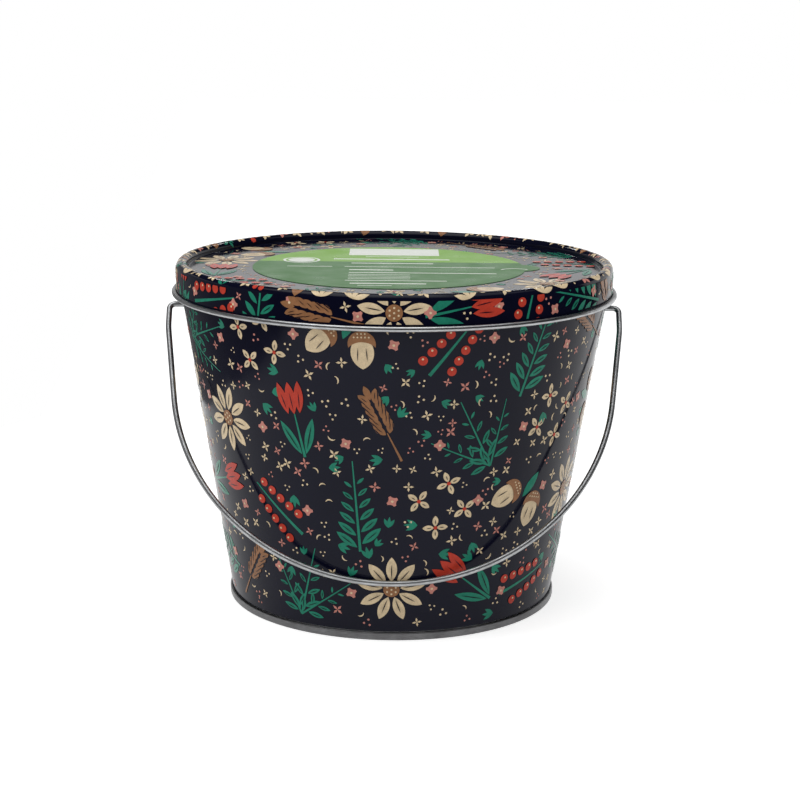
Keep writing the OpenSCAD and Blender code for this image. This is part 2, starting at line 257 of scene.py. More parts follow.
@dataclass(frozen=True)
class LithoGround:
    """The dark varnished ground of the printed tinplate, with the dark line of the seam at the back."""

    colour: Colour = paint(10, 11, 28)
    lighter: float = 1.35
    roughness: float = 0.1
    seam_colour: Colour = paint(8, 8, 10)
    seam_half: float = 0.12 * MM

    def build(self) -> Material:
        """Makes the material."""
        made = Shades("litho_ground")
        x, y, _ = made.axes()
        near_seam = made.maths("LESS_THAN", made.maths("ABSOLUTE", x), self.seam_half)
        seam = made.maths("MULTIPLY", near_seam, made.maths("GREATER_THAN", y, 0.0))
        ground = made.tints(made.drift(18, 2), self.colour, 1.0, self.lighter)
        made.set(Base_Color=made.between(seam, ground, self.seam_colour), Specular_IOR_Level=VARNISH_SPECULAR,
                 Roughness=made.drift(60, 4, self.roughness - 0.03, self.roughness + 0.05))
        made.bump(made.noise(VARNISH_GRAIN, 2), VARNISH_DEPTH, VARNISH_STRENGTH)
        return made.material


@dataclass(frozen=True)
class LithoInk:
    """One ink of the print, under the same varnish as the ground."""

    ink: Ink
    roughness: float = 0.2
    mottle: float = 0.12

    def build(self) -> Material:
        """Makes the material."""
        made = Shades(f"ink_{self.ink.name.lower()}")
        worn = made.ranged(made.blend(made.noise(2600, 2), 0.45, made.noise(320, 4)), 0.36, 0.64)
        tint = made.tints(worn, paint(*self.ink.value), 1 - 1.6 * self.mottle, 1 + self.mottle)
        made.set(Base_Color=tint, Specular_IOR_Level=VARNISH_SPECULAR,
                 Roughness=made.drift(80, 3, self.roughness - 0.03, self.roughness + 0.06))
        made.bump(made.noise(VARNISH_GRAIN, 2), VARNISH_DEPTH, VARNISH_STRENGTH)
        return made.material


@dataclass(frozen=True)
class BareTin:
    """Bare tinplate or wire, with the fine lines that forming leaves."""

    name: str
    colour: Colour
    roughness: float
    lines: float
    stretch: Place = (0.12, 0.12, 1.0)
    dull: float = 0.6
    line_depth: float = 0.01 * MM

    def build(self) -> Material:
        """Makes the material."""
        made = Shades(self.name)
        streaks = made.noise(self.lines, 3, self.stretch)
        both = made.blend(streaks, 0.5, made.noise(140, 4))
        made.set(Metallic=1.0, Base_Color=made.tints(made.ranged(both, 0.35, 0.65), self.colour, self.dull),
                 Roughness=made.ranged(both, *NOISE_SPAN, self.roughness + 0.1, self.roughness - 0.06))
        made.bump(streaks, self.line_depth, 0.5)
        return made.material


@dataclass(frozen=True)
class LabelPaper:
    """The coated paper of the label, lime over a darker green."""

    upper: Colour = paint(128, 180, 66)
    lower: Colour = paint(66, 122, 58)
    split_y: float = 12.5 * MM
    soft_edge: float = 0.1 * MM
    fibre_depth: float = 0.02 * MM

    def build(self) -> Material:
        """Makes the material."""
        made = Shades("label_paper")
        _, y, _ = made.axes()
        edge = made.ranged(y, self.split_y - self.soft_edge, self.split_y + self.soft_edge)
        fibre = made.drift(1400, 4)
        halves = made.between(edge, made.tints(fibre, self.lower, 0.92), made.tints(fibre, self.upper, 0.94))
        made.set(Base_Color=halves, Specular_IOR_Level=0.2, Roughness=made.drift(90, 3, 0.26, 0.36))
        made.bump(made.noise(700, 3), self.fibre_depth, 0.3)
        return made.material


@dataclass(frozen=True)
class LabelInk:
    """A plain colour printed on the label."""

    name: str
    colour: Colour

    def build(self) -> Material:
        """Makes the material."""
        made = Shades(self.name)
        made.set(Base_Color=made.tints(made.drift(1400, 4), self.colour, 0.9), Specular_IOR_Level=0.2,
                 Roughness=made.drift(90, 3, 0.28, 0.4))
        return made.material


@dataclass(frozen=True)
class PouredWax:
    """Pale wax, poured and set."""

    colour: Colour = paint(240, 232, 198)
    light_reach: Place = (4 * MM, 3 * MM, 1.5 * MM)
    swell_depth: float = 0.4 * MM

    def build(self) -> Material:
        """Makes the material."""
        made = Shades("poured_wax")
        made.set(Base_Color=made.tints(made.drift(35, 5), self.colour, 0.9),
                 Roughness=made.drift(120, 4, 0.3, 0.48),
                 Subsurface_Weight=0.5, Subsurface_Radius=self.light_reach, Subsurface_Scale=1.0)
        made.bump(made.blend(made.noise(40, 2), 0.8, made.noise(500, 3)), self.swell_depth, 0.5)
        return made.material


@dataclass(frozen=True)
class Cotton:
    """Waxed cotton of the wicks."""

    colour: Colour = paint(236, 230, 214)
    stretch: Place = (1, 1, 0.35)
    fibre_depth: float = 0.1 * MM

    def build(self) -> Material:
        """Makes the material."""
        made = Shades("wick_cotton")
        fibre = made.ranged(made.noise(2500, 4, self.stretch), *NOISE_SPAN)
        made.set(Base_Color=made.tints(fibre, self.colour, 0.75), Sheen_Weight=0.3, Sheen_Roughness=0.5,
                 Roughness=made.ranged(fibre, 0, 1, 0.85, 0.65))
        made.bump(fibre, self.fibre_depth, 0.6)
        return made.material


class SheetPath:
    """The middle of a formed sheet's thickness, drawn in the plane of radius and height."""

    def __init__(self) -> None:
        """Starts an empty path."""
        self.points: list[tuple[Vector, Vector]] = []

    def bend(self, centre: Point, radius: float, start: float, end: float, step: float = 7.0) -> "SheetPath":
        """Adds a round bend.

        Args:
            centre: The bend's centre.
            radius: Its radius, on the middle of the sheet.
            start: Angle of its first point, in degrees.
            end: Angle of its last point, in degrees.
            step: Largest angle between two points, in degrees.

        Returns:
            The path itself.
        """
        steps = math.ceil(abs(end - start) / step)
        side = -1 if end > start else 1
        for i in range(steps + 1):
            angle = math.radians(start + (end - start) * i / steps)
            out = Vector((math.cos(angle), math.sin(angle)))
            self.points.append((Vector(centre) + radius * out, side * out))
        return self

    def corner(self, point: Point, heading: float, following: float) -> "SheetPath":
        """Adds a sharp corner.

        Args:
            point: Where it is.
            heading: Direction before it, in degrees.
            following: Direction after it, in degrees.

        Returns:
            The path itself.
        """
        half = math.radians((following - heading) / 2)
        angle = math.radians(heading + 90) + half
        normal = Vector((math.cos(angle), math.sin(angle))) / math.cos(half)
        self.points.append((Vector(point), normal))
        return self

    def stop(self, point: Point, heading: float) -> "SheetPath":
        """Adds an end of the sheet at a point, with the sheet's direction there in degrees."""
        return self.corner(point, heading, heading)

    def outline(self, sheet: float) -> list[Point]:
        """Gives the closed outline of the sheet's section.

        Args:
            sheet: Thickness of the sheet.

        Returns:
            The section's points, radius and height.
        """
        near = [tuple(p + n * sheet / 2) for p, n in self.points]
        far = [tuple(p - n * sheet / 2) for p, n in reversed(self.points)]
        return near + far


def revolve(name: str, outline: list[Point], turns: int = 288) -> Thing:
    """Turns a closed outline round the Z axis into a closed mesh.

    Args:
        name: The new object's name.
        outline: Points of radius and height, in order.
        turns: Steps round the axis.

    Returns:
        The new object.
    """
    mesh = bmesh.new()
    rings: list[list[bmesh.types.BMVert]] = []
    for radius, height in outline:
        if radius < 1e-6:
            rings.append([mesh.verts.new((0, 0, height))])
            continue
        ring = []
        for i in range(turns):
            angle = 2 * math.pi * i / turns
            ring.append(mesh.verts.new((radius * math.cos(angle), radius * math.sin(angle), height)))
        rings.append(ring)
    for low, high in zip(rings, rings[1:] + rings[:1]):
        if len(low) == 1 and len(high) == 1:
            continue
        for i in range(turns):
            after = (i + 1) % turns
            corners = [low[i % len(low)], low[after % len(low)], high[after % len(high)], high[i % len(high)]]
            mesh.faces.new(list(dict.fromkeys(corners)))
    return finished(name, mesh)


def finished(name: str, mesh: bmesh.types.BMesh, sharp: float = 35.0) -> Thing:
    """Makes an object of a mesh, with outward faces and smooth shading.

    Args:
        name: The new object's name.
        mesh: The mesh, which is used up.
        sharp: Edges that turn by more than this many degrees stay sharp.

    Returns:
        The new object.
    """
    bmesh.ops.recalc_face_normals(mesh, faces=mesh.faces)
    data = bpy.data.meshes.new(name)
    mesh.to_mesh(data)
    mesh.free()
    data.polygons.foreach_set("use_smooth", [True] * len(data.polygons))
    data.set_sharp_from_angle(angle=math.radians(sharp))
    return placed(name, data)


def placed(name: str, data: bpy.types.ID) -> Thing:
    """Puts data into the scene as an object.

    Args:
        name: The new object's name.
        data: Its mesh, lamp or camera.

    Returns:
        The new object.
    """
    made = bpy.data.objects.new(name, data)
    bpy.context.scene.collection.objects.link(made)
    return made


def plain_mesh(name: str, places: list[Place], edges: list[tuple[int, int]], faces: list[tuple[int, ...]]
               ) -> bpy.types.Mesh:
    """Makes a mesh of places and of what joins them.

    Args:
        name: The mesh's name.
        places: The places.
        edges: Edges on their own.
        faces: Faces.

    Returns:
        The mesh.
    """
    data = bpy.data.meshes.new(name)
    data.from_pydata(places, edges, faces)
    return data


def dress(piece: Thing, body: Body, finish: Material, slot: str = "", *nodes: str) -> None:
    """Gives a new piece its finish, its body and the solids that it stands for.

    Args:
        piece: The new piece.
        body: The body that it moves with.
        finish: Its material.
        slot: The name of the record's material slot for the piece; not used.
        nodes: The solids that it replaces.
    """
    paint_over(piece, finish)
    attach(piece, body.value)
    if nodes:
        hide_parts(*nodes)
    log.info("%s: %d faces", piece.name, len(piece.data.polygons))


def paint_over(piece: Thing, finish: Material) -> None:
    """Gives a piece one finish in place of what it has."""
    piece.data.materials.clear()
    piece.data.materials.append(finish)


def keep_node(name: str, finish: Material) -> Thing:
    """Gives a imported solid, shown as it is, its finish.

    Args:
        name: The solid's node.
        finish: Its material.

    Returns:
        The solid's object.
    """
    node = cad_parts[name]
    paint_over(node, finish)
    log.info("%s: kept", name)
    return node


class Growth(Tree):
    """A Geometry Nodes tree in the making, with named inputs."""

    def __init__(self, name: str) -> None:
        """Starts the tree.

        Args:
            name: The tree's name.
        """
        super().__init__(bpy.data.node_groups.new(name, "GeometryNodeTree"))
        for way in ("INPUT", "OUTPUT"):
            self.tree.interface.new_socket("Geometry", in_out=way, socket_type="NodeSocketGeometry")
        self.start = self.node("NodeGroupInput")
        self.values: dict[str, object] = {}

    def input(self, name: str, value: object, kind: str = "NodeSocketFloat") -> Socket:
        """Adds a named input.

        Args:
            name: The input's name.
            value: What it is set to on the object.
            kind: Its socket type.

        Returns:
            The input's socket inside the tree.
        """
        item = self.tree.interface.new_socket(name, in_out="INPUT", socket_type=kind)
        self.values[item.identifier] = value
        return self.size(name)

    def size(self, name: str) -> Socket:
        """Gives the socket of a named input inside the tree."""
        return self.start.outputs[name]

    def place(self) -> list[Socket]:
        """Gives X, Y and Z of each point's place."""
        return list(self.node("ShaderNodeSeparateXYZ", Vector=self.out("GeometryNodeInputPosition")).outputs)

    def read(self, name: str) -> Socket:
        """Reads a number that the points carry under a name."""
        made = self.node("GeometryNodeInputNamedAttribute", {"data_type": "FLOAT"}, Name=name)
        return made.outputs["Attribute"]

    def write(self, geometry: Socket, name: str, value: Socket) -> Socket:
        """Stores a number on the geometry's points under a name."""
        return self.out("GeometryNodeStoreNamedAttribute", {"data_type": "FLOAT", "domain": "POINT"},
                        Geometry=geometry, Name=name, Value=value)

    def chance(self, low: object, high: object, seed: Socket) -> Socket:
        """Gives each point a number by chance.

        Args:
            low: The least it can be.
            high: The most it can be.
            seed: The seed.

        Returns:
            The number.
        """
        made = self.node("FunctionNodeRandomValue", {"data_type": "FLOAT"}, Seed=seed)
        for socket, value in zip([s for s in made.inputs if s.type == "VALUE"], (low, high)):
            self.feed(socket, value)
        return [s for s in made.outputs if s.type == "VALUE"][0]

    def shape(self, source: Thing) -> Socket:
        """Brings another object's mesh in as one instance."""
        return self.node("GeometryNodeObjectInfo", Object=source, As_Instance=True).outputs["Geometry"]

    def bundle(self, kind: str, sources: list[Thing]) -> Socket:
        """Brings other objects' meshes in through one node.

        Args:
            kind: The node's type, which joins them or keeps them as instances to choose from.
            sources: The objects.

        Returns:
            The node's result.
        """
        made = self.node(kind)
        for source in sources:
            self.feed(made.inputs[0], self.shape(source))
        return made.outputs[0]

    def grow(self, start: Thing, result: Socket, finish: Material) -> Thing:
        """Ends the tree, runs it on an object and keeps the result as a plain mesh.

        Args:
            start: The object that the tree works on, which is used up.
            result: The geometry that the tree has made.
            finish: The material of the result.

        Returns:
            A new object with the plain mesh.
        """
        solid = self.out("GeometryNodeRealizeInstances", Geometry=result)
        dressed = self.out("GeometryNodeSetMaterial", Geometry=solid, Material=finish)
        self.feed(self.node("NodeGroupOutput").inputs[0], dressed)
        modifier = start.modifiers.new("growth", "NODES")
        modifier.node_group = self.tree
        for identifier, value in self.values.items():
            modifier[identifier] = value
        graph = bpy.context.evaluated_depsgraph_get()
        data = bpy.data.meshes.new_from_object(start.evaluated_get(graph), preserve_all_data_layers=True,
                                               depsgraph=graph)
        data.name = name = start.name
        start.modifiers.remove(modifier)
        bpy.data.objects.remove(start)
        return placed(name, data)


def polyline(name: str, points: list[Vector]) -> Thing:
    """Makes an object of points joined by edges, in their order."""
    edges = [(i, i + 1) for i in range(len(points) - 1)]
    return placed(name, plain_mesh(name, [tuple(p) for p in points], edges, []))


def carry(points: Thing, **numbers: list[float]) -> Thing:
    """Lets an object's points carry numbers under names.

    Args:
        points: The object.
        numbers: The numbers under each name, one a point.

    Returns:
        The same object.
    """
    for name, values in numbers.items():
        points.data.attributes.new(name, "FLOAT", "POINT").data.foreach_set("value", values)
    return points


def wire(name: str, points: list[Vector], radius: float, sides: int, finish: Material) -> Thing:
    """Sweeps a round wire along a line of points with Geometry Nodes.

    Args:
        name: The new object's name.
        points: The middle of the wire.
        radius: Radius of the wire.
        sides: Steps round the wire.
        finish: The material of the wire.

    Returns:
        The swept wire as a plain mesh.
    """
    growth = Growth(f"{name}_sweep")
    thick = growth.input("Wire radius", radius)
    count = growth.input("Steps round the wire", sides, "NodeSocketInt")
    curve = growth.out("GeometryNodeMeshToCurve", Mesh=growth.size("Geometry"))
    section = growth.out("GeometryNodeCurvePrimitiveCircle", Radius=thick, Resolution=count)
    swept = growth.out("GeometryNodeCurveToMesh", Curve=curve, Profile_Curve=section, Fill_Caps=True)
    smooth = growth.out("GeometryNodeSetShadeSmooth", Geometry=swept)
    return growth.grow(polyline(name, points), smooth, finish)


def leaf(long: float, wide: float, steps: int = 4) -> Outlines:
    """Gives a slim leaf, from the origin up along Y, as a strip that can bend with the sheet.

    Args:
        long: Its length.
        wide: Its greatest width.
        steps: Stretches along it.

    Returns:
        The strip's outlines.
    """
    edge = [(wide / 2 * math.sin(math.pi * i / steps), long * i / steps) for i in range(steps + 1)]
    strip: Outlines = []
    for (low_w, low_y), (high_w, high_y) in zip(edge, edge[1:]):
        corners = [(-low_w, low_y), (low_w, low_y), (high_w, high_y), (-high_w, high_y)]
        strip.append(list(dict.fromkeys((round(x, 9), y) for x, y in corners)))
    return strip


def moved(shapes: Outlines, turn: float, place: Point = (0, 0)) -> Outlines:
    """Turns outlines about the origin, in degrees counter-clockwise, and then shifts them."""
    c, s = math.cos(math.radians(turn)), math.sin(math.radians(turn))
    return [[(c * x - s * y + place[0], s * x + c * y + place[1]) for x, y in shape] for shape in shapes]


def round_spot(radius: float, place: Point = (0, 0), sides: int = 8) -> Outlines:
    """Gives a small round spot of a radius at a place, with so many sides."""
    return moved([arc((0, 0), radius, 0, 360 - 360 / sides, 360 / sides)], 0, place)


def stamp(name: str, shapes: Outlines, cell: float = 0.0) -> Thing:
    """Makes a flat stamp of ink, lying on the XY plane.

    Args:
        name: The new object's name.
        shapes: Its outlines, counter-clockwise.
        cell: Side of the cells that the stamp is cut into, so that it can bend sharply, or 0 for no cuts.

    Returns:
        The new object.
    """
    mesh = bmesh.new()
    for shape in shapes:
        mesh.faces.new([mesh.verts.new((x, y, INK_T)) for x, y in shape])
    bmesh.ops.remove_doubles(mesh, verts=mesh.verts, dist=0.001 * MM)
    reach = max(max(abs(v.co.x), abs(v.co.y)) for v in mesh.verts)
    count = int(reach / cell) if cell else -1
    for axis in (Vector((1, 0, 0)), Vector((0, 1, 0))):
        for i in range(-count, count + 1):
            everything = mesh.verts[:] + mesh.edges[:] + mesh.faces[:]
            bmesh.ops.bisect_plane(mesh, geom=everything, plane_co=axis * i * cell, plane_no=axis)
    bmesh.ops.recalc_face_normals(mesh, faces=mesh.faces)
    skirt = bmesh.ops.extrude_face_region(mesh, geom=mesh.faces[:], use_keep_orig=True)
    lower = [v for v in skirt["geom"] if isinstance(v, bmesh.types.BMVert)]
    bmesh.ops.translate(mesh, vec=(0, 0, -INK_T), verts=lower)
    return finished(name, mesh, 30)


class Sheet:
    """A round stretch of the tin that prints are rolled on. Its slant is the way across the roll."""

    def sizes(self) -> dict[str, float]:
        """Gives the named sizes that a tree needs."""
        raise NotImplementedError

    def radius(self, growth: Growth, slant: Socket) -> Socket:
        """Works out the sheet's radius at a place up the slant, inside a tree."""
        raise NotImplementedError

    def spot(self, growth: Growth, turn: Socket, slant: Socket, lift: Socket) -> Socket:
        """Works out the place at a turn in radians, a slant and a lift, inside a tree."""
        raise NotImplementedError

    def begin(self, name: str) -> Growth:
        """Starts a tree that has the sheet's sizes as named inputs.

        Args:
            name: The tree's name.

        Returns:
            The tree.
        """
        growth = Growth(name)
        for size, value in self.sizes().items():
            growth.input(size, value)
        return growth

    def around(self, growth: Growth, far: Socket, turn: Socket, high: Socket) -> Socket:
        """Turns a radius, a turn and a height into a place, inside a tree.

        Args:
            growth: The tree.
            far: The radius.
            turn: Turn round the axis from the front, in radians.
            high: The height.

        Returns:
            The place, as a vector.
        """
        x = growth.maths("MULTIPLY", far, growth.maths("SINE", turn))
        y = growth.maths("MULTIPLY", growth.maths("MULTIPLY", far, growth.maths("COSINE", turn)), -1.0)
        return growth.out("ShaderNodeCombineXYZ", X=x, Y=y, Z=high)

    def roll(self, growth: Growth, stamps: Socket, lift: Socket) -> Socket:
        """Rolls flat stamps, which carry their turn and slant, round the sheet.

        Args:
            growth: The tree.
            stamps: The stamps, all at the origin.
            lift: Distance of the stamps out of the sheet.

        Returns:
            The rolled geometry.
        """
        flat = growth.out("GeometryNodeRealizeInstances", Geometry=stamps)
        across, along, out = growth.place()
        slant = growth.maths("ADD", growth.read("slant"), along)
        turn = growth.maths("DIVIDE", across, self.radius(growth, slant))
        turn = growth.maths("ADD", growth.read("turn"), turn)
        spot = self.spot(growth, turn, slant, growth.maths("ADD", out, lift))
        return growth.out("GeometryNodeSetPosition", Geometry=flat, Position=spot)


@dataclass(frozen=True)
class Cone(Sheet):
    """A stretch that is straight along its slant: the wall, the skirt or, lying flat, the panel."""

    ref_r: float
    ref_z: float
    lean: float

    def sizes(self) -> dict[str, float]:
        """Gives the radius and the height at the start, and the lean."""
        return {"Radius at the start": self.ref_r, "Height at the start": self.ref_z,
                "Sine of the lean": math.sin(self.lean), "Cosine of the lean": math.cos(self.lean)}

    def radius(self, growth: Growth, slant: Socket) -> Socket:
        """Works out the cone's radius at a place up the slant, inside a tree."""
        return growth.maths("MULTIPLY_ADD", slant, growth.size("Sine of the lean"),
                            growth.size("Radius at the start"))

    def spot(self, growth: Growth, turn: Socket, slant: Socket, lift: Socket) -> Socket:
        """Works out a place on the cone inside a tree."""
        cosine = growth.size("Cosine of the lean")
        far = growth.maths("MULTIPLY_ADD", lift, cosine, self.radius(growth, slant))
        high = growth.maths("MULTIPLY_ADD", slant, cosine, growth.size("Height at the start"))
        drop = growth.maths("MULTIPLY", lift, growth.size("Sine of the lean"))
        return self.around(growth, far, turn, growth.maths("SUBTRACT", high, drop))

    def beside(self, mark: "Mark", across: float, along: float) -> Place:
        """Finds a place beside a mark, in the flat frame in which the mark was printed.

        Args:
            mark: The mark.
            across: Distance to its right.
            along: Distance up from it.

        Returns:
            The place's turn, its slant, and how far its own frame is turned against the mark's.
        """
        lies_flat = abs(self.lean) > math.radians(89)
        if lies_flat:
            reach = self.ref_r - mark.slant - along
            twist = math.atan2(across, reach)
            return mark.turn + twist, self.ref_r - math.hypot(across, reach), -twist
        slant = mark.slant + along
        return mark.turn + math.asin(across / (self.ref_r + slant * math.sin(self.lean))), slant, 0.0


@dataclass(frozen=True)
class Torus(Sheet):
    """The rounded rim of the lid. Its slant starts on the outside, goes over the top and ends straight."""

    ring_r: float
    ring_z: float
    section_r: float
    start: float

    def sizes(self) -> dict[str, float]:
        """Gives the ring's radius and height, the radius of its section and the angle where it starts."""
        return {"Radius of the ring": self.ring_r, "Height of the ring": self.ring_z,
                "Radius of the section": self.section_r, "Angle at the start": self.start}

    def angles(self, growth: Growth, slant: Socket) -> tuple[Socket, Socket]:
        """Works out the angle round the section, inside a tree.

        Args:
            growth: The tree.
            slant: Distance up the slant.

        Returns:
            The angle on past the round part, and the same angle kept within the round part.
        """
        whole = growth.maths("DIVIDE", slant, growth.size("Radius of the section"))
        whole = growth.maths("ADD", whole, growth.size("Angle at the start"))
        return whole, growth.maths("MINIMUM", growth.maths("MAXIMUM", whole, 0.0), math.pi)

    def radius(self, growth: Growth, slant: Socket) -> Socket:
        """Works out the rim's radius at a place round its section, inside a tree."""
        cosine = growth.maths("COSINE", self.angles(growth, slant)[1])
        return growth.maths("MULTIPLY_ADD", cosine, growth.size("Radius of the section"),
                            growth.size("Radius of the ring"))

    def spot(self, growth: Growth, turn: Socket, slant: Socket, lift: Socket) -> Socket:
        """Works out a place on the rim inside a tree, no higher than the rim's crown."""
        section_r, ring_z = growth.size("Radius of the section"), growth.size("Height of the ring")
        whole, bent = self.angles(growth, slant)
        out = growth.maths("ADD", lift, section_r)
        ring_r = growth.size("Radius of the ring")
        far = growth.maths("MULTIPLY_ADD", growth.maths("COSINE", bent), out, ring_r)
        high = growth.maths("MULTIPLY_ADD", growth.maths("SINE", bent), out, ring_z)
        past = growth.maths("ABSOLUTE", growth.maths("SUBTRACT", whole, bent))
        high = growth.maths("SUBTRACT", high, growth.maths("MULTIPLY", past, section_r))
        crown = growth.maths("ADD", ring_z, section_r)
        return self.around(growth, far, turn, growth.maths("MINIMUM", high, crown))


class Motif(Enum):
    """The large motifs of the print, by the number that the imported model's layout gives them."""

    DAISY = 0
    FERN = 1
    BLOSSOMS = 2
    TULIP = 3
    WHEAT = 4
    ACORN = 5
    BERRIES = 6
    SPRAY = 7
    STAR = 8


@dataclass(frozen=True)
class Mark:
    """Where one motif is printed: its turn and slant on the sheet, its own spin in radians, and its kind."""

    turn: float
    slant: float
    spin: float
    kind: Motif


@dataclass(frozen=True)
class Touch:
    """A fine touch inside a motif: a slim line that runs up from its place, or a dot round it."""

    x: float
    y: float
    spin: float
    long: float
    wide: float

    @staticmethod
    def line(at: Place, start: float, long: float, wide: float = 0.42 * MM) -> "Touch":
        """Gives a line of a length and a width, from some way up a frame of a place and a turn in degrees."""
        x, y, turn = framed(at, 0, start, 0)
        return Touch(x, y, turn, long, wide)


def framed(at: Place, x: float, y: float, turn: float) -> Place:
    """Shifts a frame, of a place and a turn in degrees, to its right and up, and then turns it on."""
    c, s = math.cos(math.radians(at[2])), math.sin(math.radians(at[2]))
    return at[0] + c * x - s * y, at[1] + s * x + c * y, at[2] + turn


HOME = (0.0, 0.0, 0.0)


@dataclass(frozen=True)
class Artwork:
    """The sizes of the large motifs and their fine touches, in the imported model's own measures."""

    daisy_d: float = 27 * MM
    fern_len: float = 37 * MM
    tulip_len: float = 30 * MM
    acorn_len: float = 13 * MM
    sprig_len: float = 27 * MM
    wheat_len: float = 31 * MM
    blossom_d: float = 9.4 * MM
    columns: int = 14
    skirt_columns: int = 21
    kinds: int = 8
    panel_ring: float = 70 * MM

    @staticmethod
    def vary(n: int) -> float:
        """Gives the steady spread of values from -1 to 1 that the layout uses."""
        return math.sin(math.radians(137.5 * n))

    def wall_marks(self, low: float, high: float, rows: int, lean: float) -> list[Mark]:
        """Gives the marks of the wall's print.

        Args:
            low: Height of the print's lower end.
            high: Height of its upper end.
            rows: Rows of motifs.
            lean: Lean of the wall in radians.

        Returns:
            The marks.
        """
        marks = []
        for j in range(rows):
            for i in range(self.columns):
                turn = 360 / self.columns * (i + (j % 2) / 2)
                up = (high - low) / rows * (j + 0.5)
                slant = (up + 3 * MM * self.vary(i + 3 * j)) / math.cos(lean)
                spin = math.radians(75 * self.vary(i + 4 * j))
                kind = Motif((3 * i + 2 * j) % self.kinds)
                marks.append(Mark(math.radians(turn + 2.5 * self.vary(5 * i + j)), slant, spin, kind))
                turn += 180 / self.columns
                slant = (up + 5 * MM * self.vary(2 * i + j)) / math.cos(lean)
                marks.append(Mark(math.radians(turn), slant, math.radians(30 * i), Motif.STAR))
        return marks

    def skirt_marks(self, middle: float) -> list[Mark]:
        """Gives the marks of the skirt's print.

        Args:
            middle: Slant of the middle of the band.

        Returns:
            The marks.
        """
        marks = []
        for i in range(self.skirt_columns):
            turn = 2 * math.pi * i / self.skirt_columns
            slant = middle + 2 * MM * self.vary(i)
            kind = Motif((3 * i) % self.kinds)
            marks.append(Mark(turn, slant, math.radians(80 * self.vary(2 * i)), kind))
            turn += math.pi / self.skirt_columns
            marks.append(Mark(turn, slant, math.radians(25 * i), Motif.STAR))
        return marks

    def panel_marks(self, ref_r: float) -> list[Mark]:
        """Gives the marks of the panel's print.

        Args:
            ref_r: Radius at which the panel's slant starts.

        Returns:
            The marks.
        """
        marks = []
        for i in range(self.columns):
            turn = math.radians(360 / self.columns * (i + 0.2 * self.vary(3 * i)))
            kind = Motif((3 * i + 2) % self.kinds)
            marks.append(Mark(turn, ref_r - self.panel_ring, math.radians(80 * self.vary(i)), kind))
            turn = math.radians(360 / self.columns * (i + 0.5))
            slant = ref_r - self.panel_ring + 5 * MM * self.vary(2 * i)
            marks.append(Mark(turn, slant, math.radians(25 * i), Motif.STAR))
        return marks

    def lines(self) -> dict[Motif, list[Touch]]:
        """Gives the lines that are left out of the inks, so that the dark ground shows."""
        wheat, acorn = [], []
        grain, nut_len = 0.19 * self.wheat_len, self.acorn_len
        for side in (-1, 1):
            for i in range(1, 6):
                up = self.wheat_len * (0.28 + 0.105 * i - 0.5)
                at = framed(HOME, 0.025 * self.wheat_len * side, up, -28 * side)
                edge = framed(at, 0.045 * self.wheat_len * side, 0, 6 * side)
                wheat.append(Touch.line(edge, 0.1 * grain, 0.9 * grain, 0.4 * MM))
                wheat.append(Touch.line(at, 0.25 * grain, 0.5 * grain, 0.3 * MM))
            for k in (-1, 1):
                at = framed(self.nut(side), 0.09 * nut_len * k, 0, -4 * k)
                acorn.append(Touch.line(at, 0.36 * nut_len, 0.4 * nut_len, 0.36 * MM))
        spray = []
        for side in (-1, 0, 1):
            at = framed(HOME, 0, -0.38 * self.fern_len, -38 * side)
            spray += self.ribs(at, (0.82 - 0.1 * abs(side)) * self.fern_len, 4)
        fern = self.ribs(framed(HOME, 0, -self.fern_len / 2, 0), self.fern_len, 6)
        return {Motif.DAISY: self.petal_lines(), Motif.TULIP: self.cup_lines(), Motif.WHEAT: wheat,
                Motif.BLOSSOMS: self.blossom_lines(), Motif.SPRAY: spray, Motif.ACORN: acorn,
                Motif.FERN: fern}

    def petal_lines(self) -> list[Touch]:
        """Gives the creases of the daisy's nine petals."""
        disc_r = 0.23 * self.daisy_d / 2
        petal = self.daisy_d / 2 - 1.1 * disc_r
        turned = [framed(HOME, 0, 0, 40 * i) for i in range(9)]
        return [Touch.line(at, 1.1 * disc_r + 0.1 * petal, 0.62 * petal) for at in turned]

    def cup_lines(self) -> list[Touch]:
        """Gives the lines of the tulip's cup and of its two leaves."""
        cup, foot = 0.42 * self.tulip_len, -self.tulip_len / 2
        found = [Touch.line((0, foot + self.tulip_len - 1.02 * cup, 0), 0.12 * cup, 0.55 * cup)]
        for side in (-1, 1):
            at = framed(HOME, 0.2 * cup * side, foot + self.tulip_len - cup, -9 * side)
            found.append(Touch.line(at, 0.15 * cup, 0.5 * cup))
            at = framed(HOME, 0.9 * MM * side, foot + 0.04 * self.tulip_len, -24 * side)
            found.append(Touch.line(at, 0.06 * self.tulip_len, 0.36 * self.tulip_len))
        return found

    def blossom_lines(self) -> list[Touch]:
        """Gives the creases of the four blossoms' petals."""
        found = []
        for i in range(1, 5):
            at = framed(framed(HOME, 0, 0, 90 * i), 0.98 * self.blossom_d, 0, 35 * i)
            for k in range(4):
                petal = framed(at, 0, 0, 90 * k)
                found.append(Touch.line(petal, 0.16 * self.blossom_d, 0.2 * self.blossom_d, 0.34 * MM))
        return found

    def ribs(self, at: Place, frond_len: float, pairs: int) -> list[Touch]:
        """Gives the middle ribs of a frond's leaves.

        Args:
            at: The frame of the frond's foot.
            frond_len: The frond's length.
            pairs: Pairs of leaves.

        Returns:
            The ribs.
        """
        found = []
        for i in range(1, pairs):
            long = (0.3 - 0.2 * i / pairs) * frond_len
            for side in (-1, 1):
                up = 0.8 * frond_len / pairs * (i - 0.5 + 0.15 * side)
                leaf_at = framed(at, 0.027 * frond_len * side, up, -50 * side)
                found.append(Touch.line(leaf_at, 0.2 * long, 0.6 * long, 0.36 * MM))
        return found

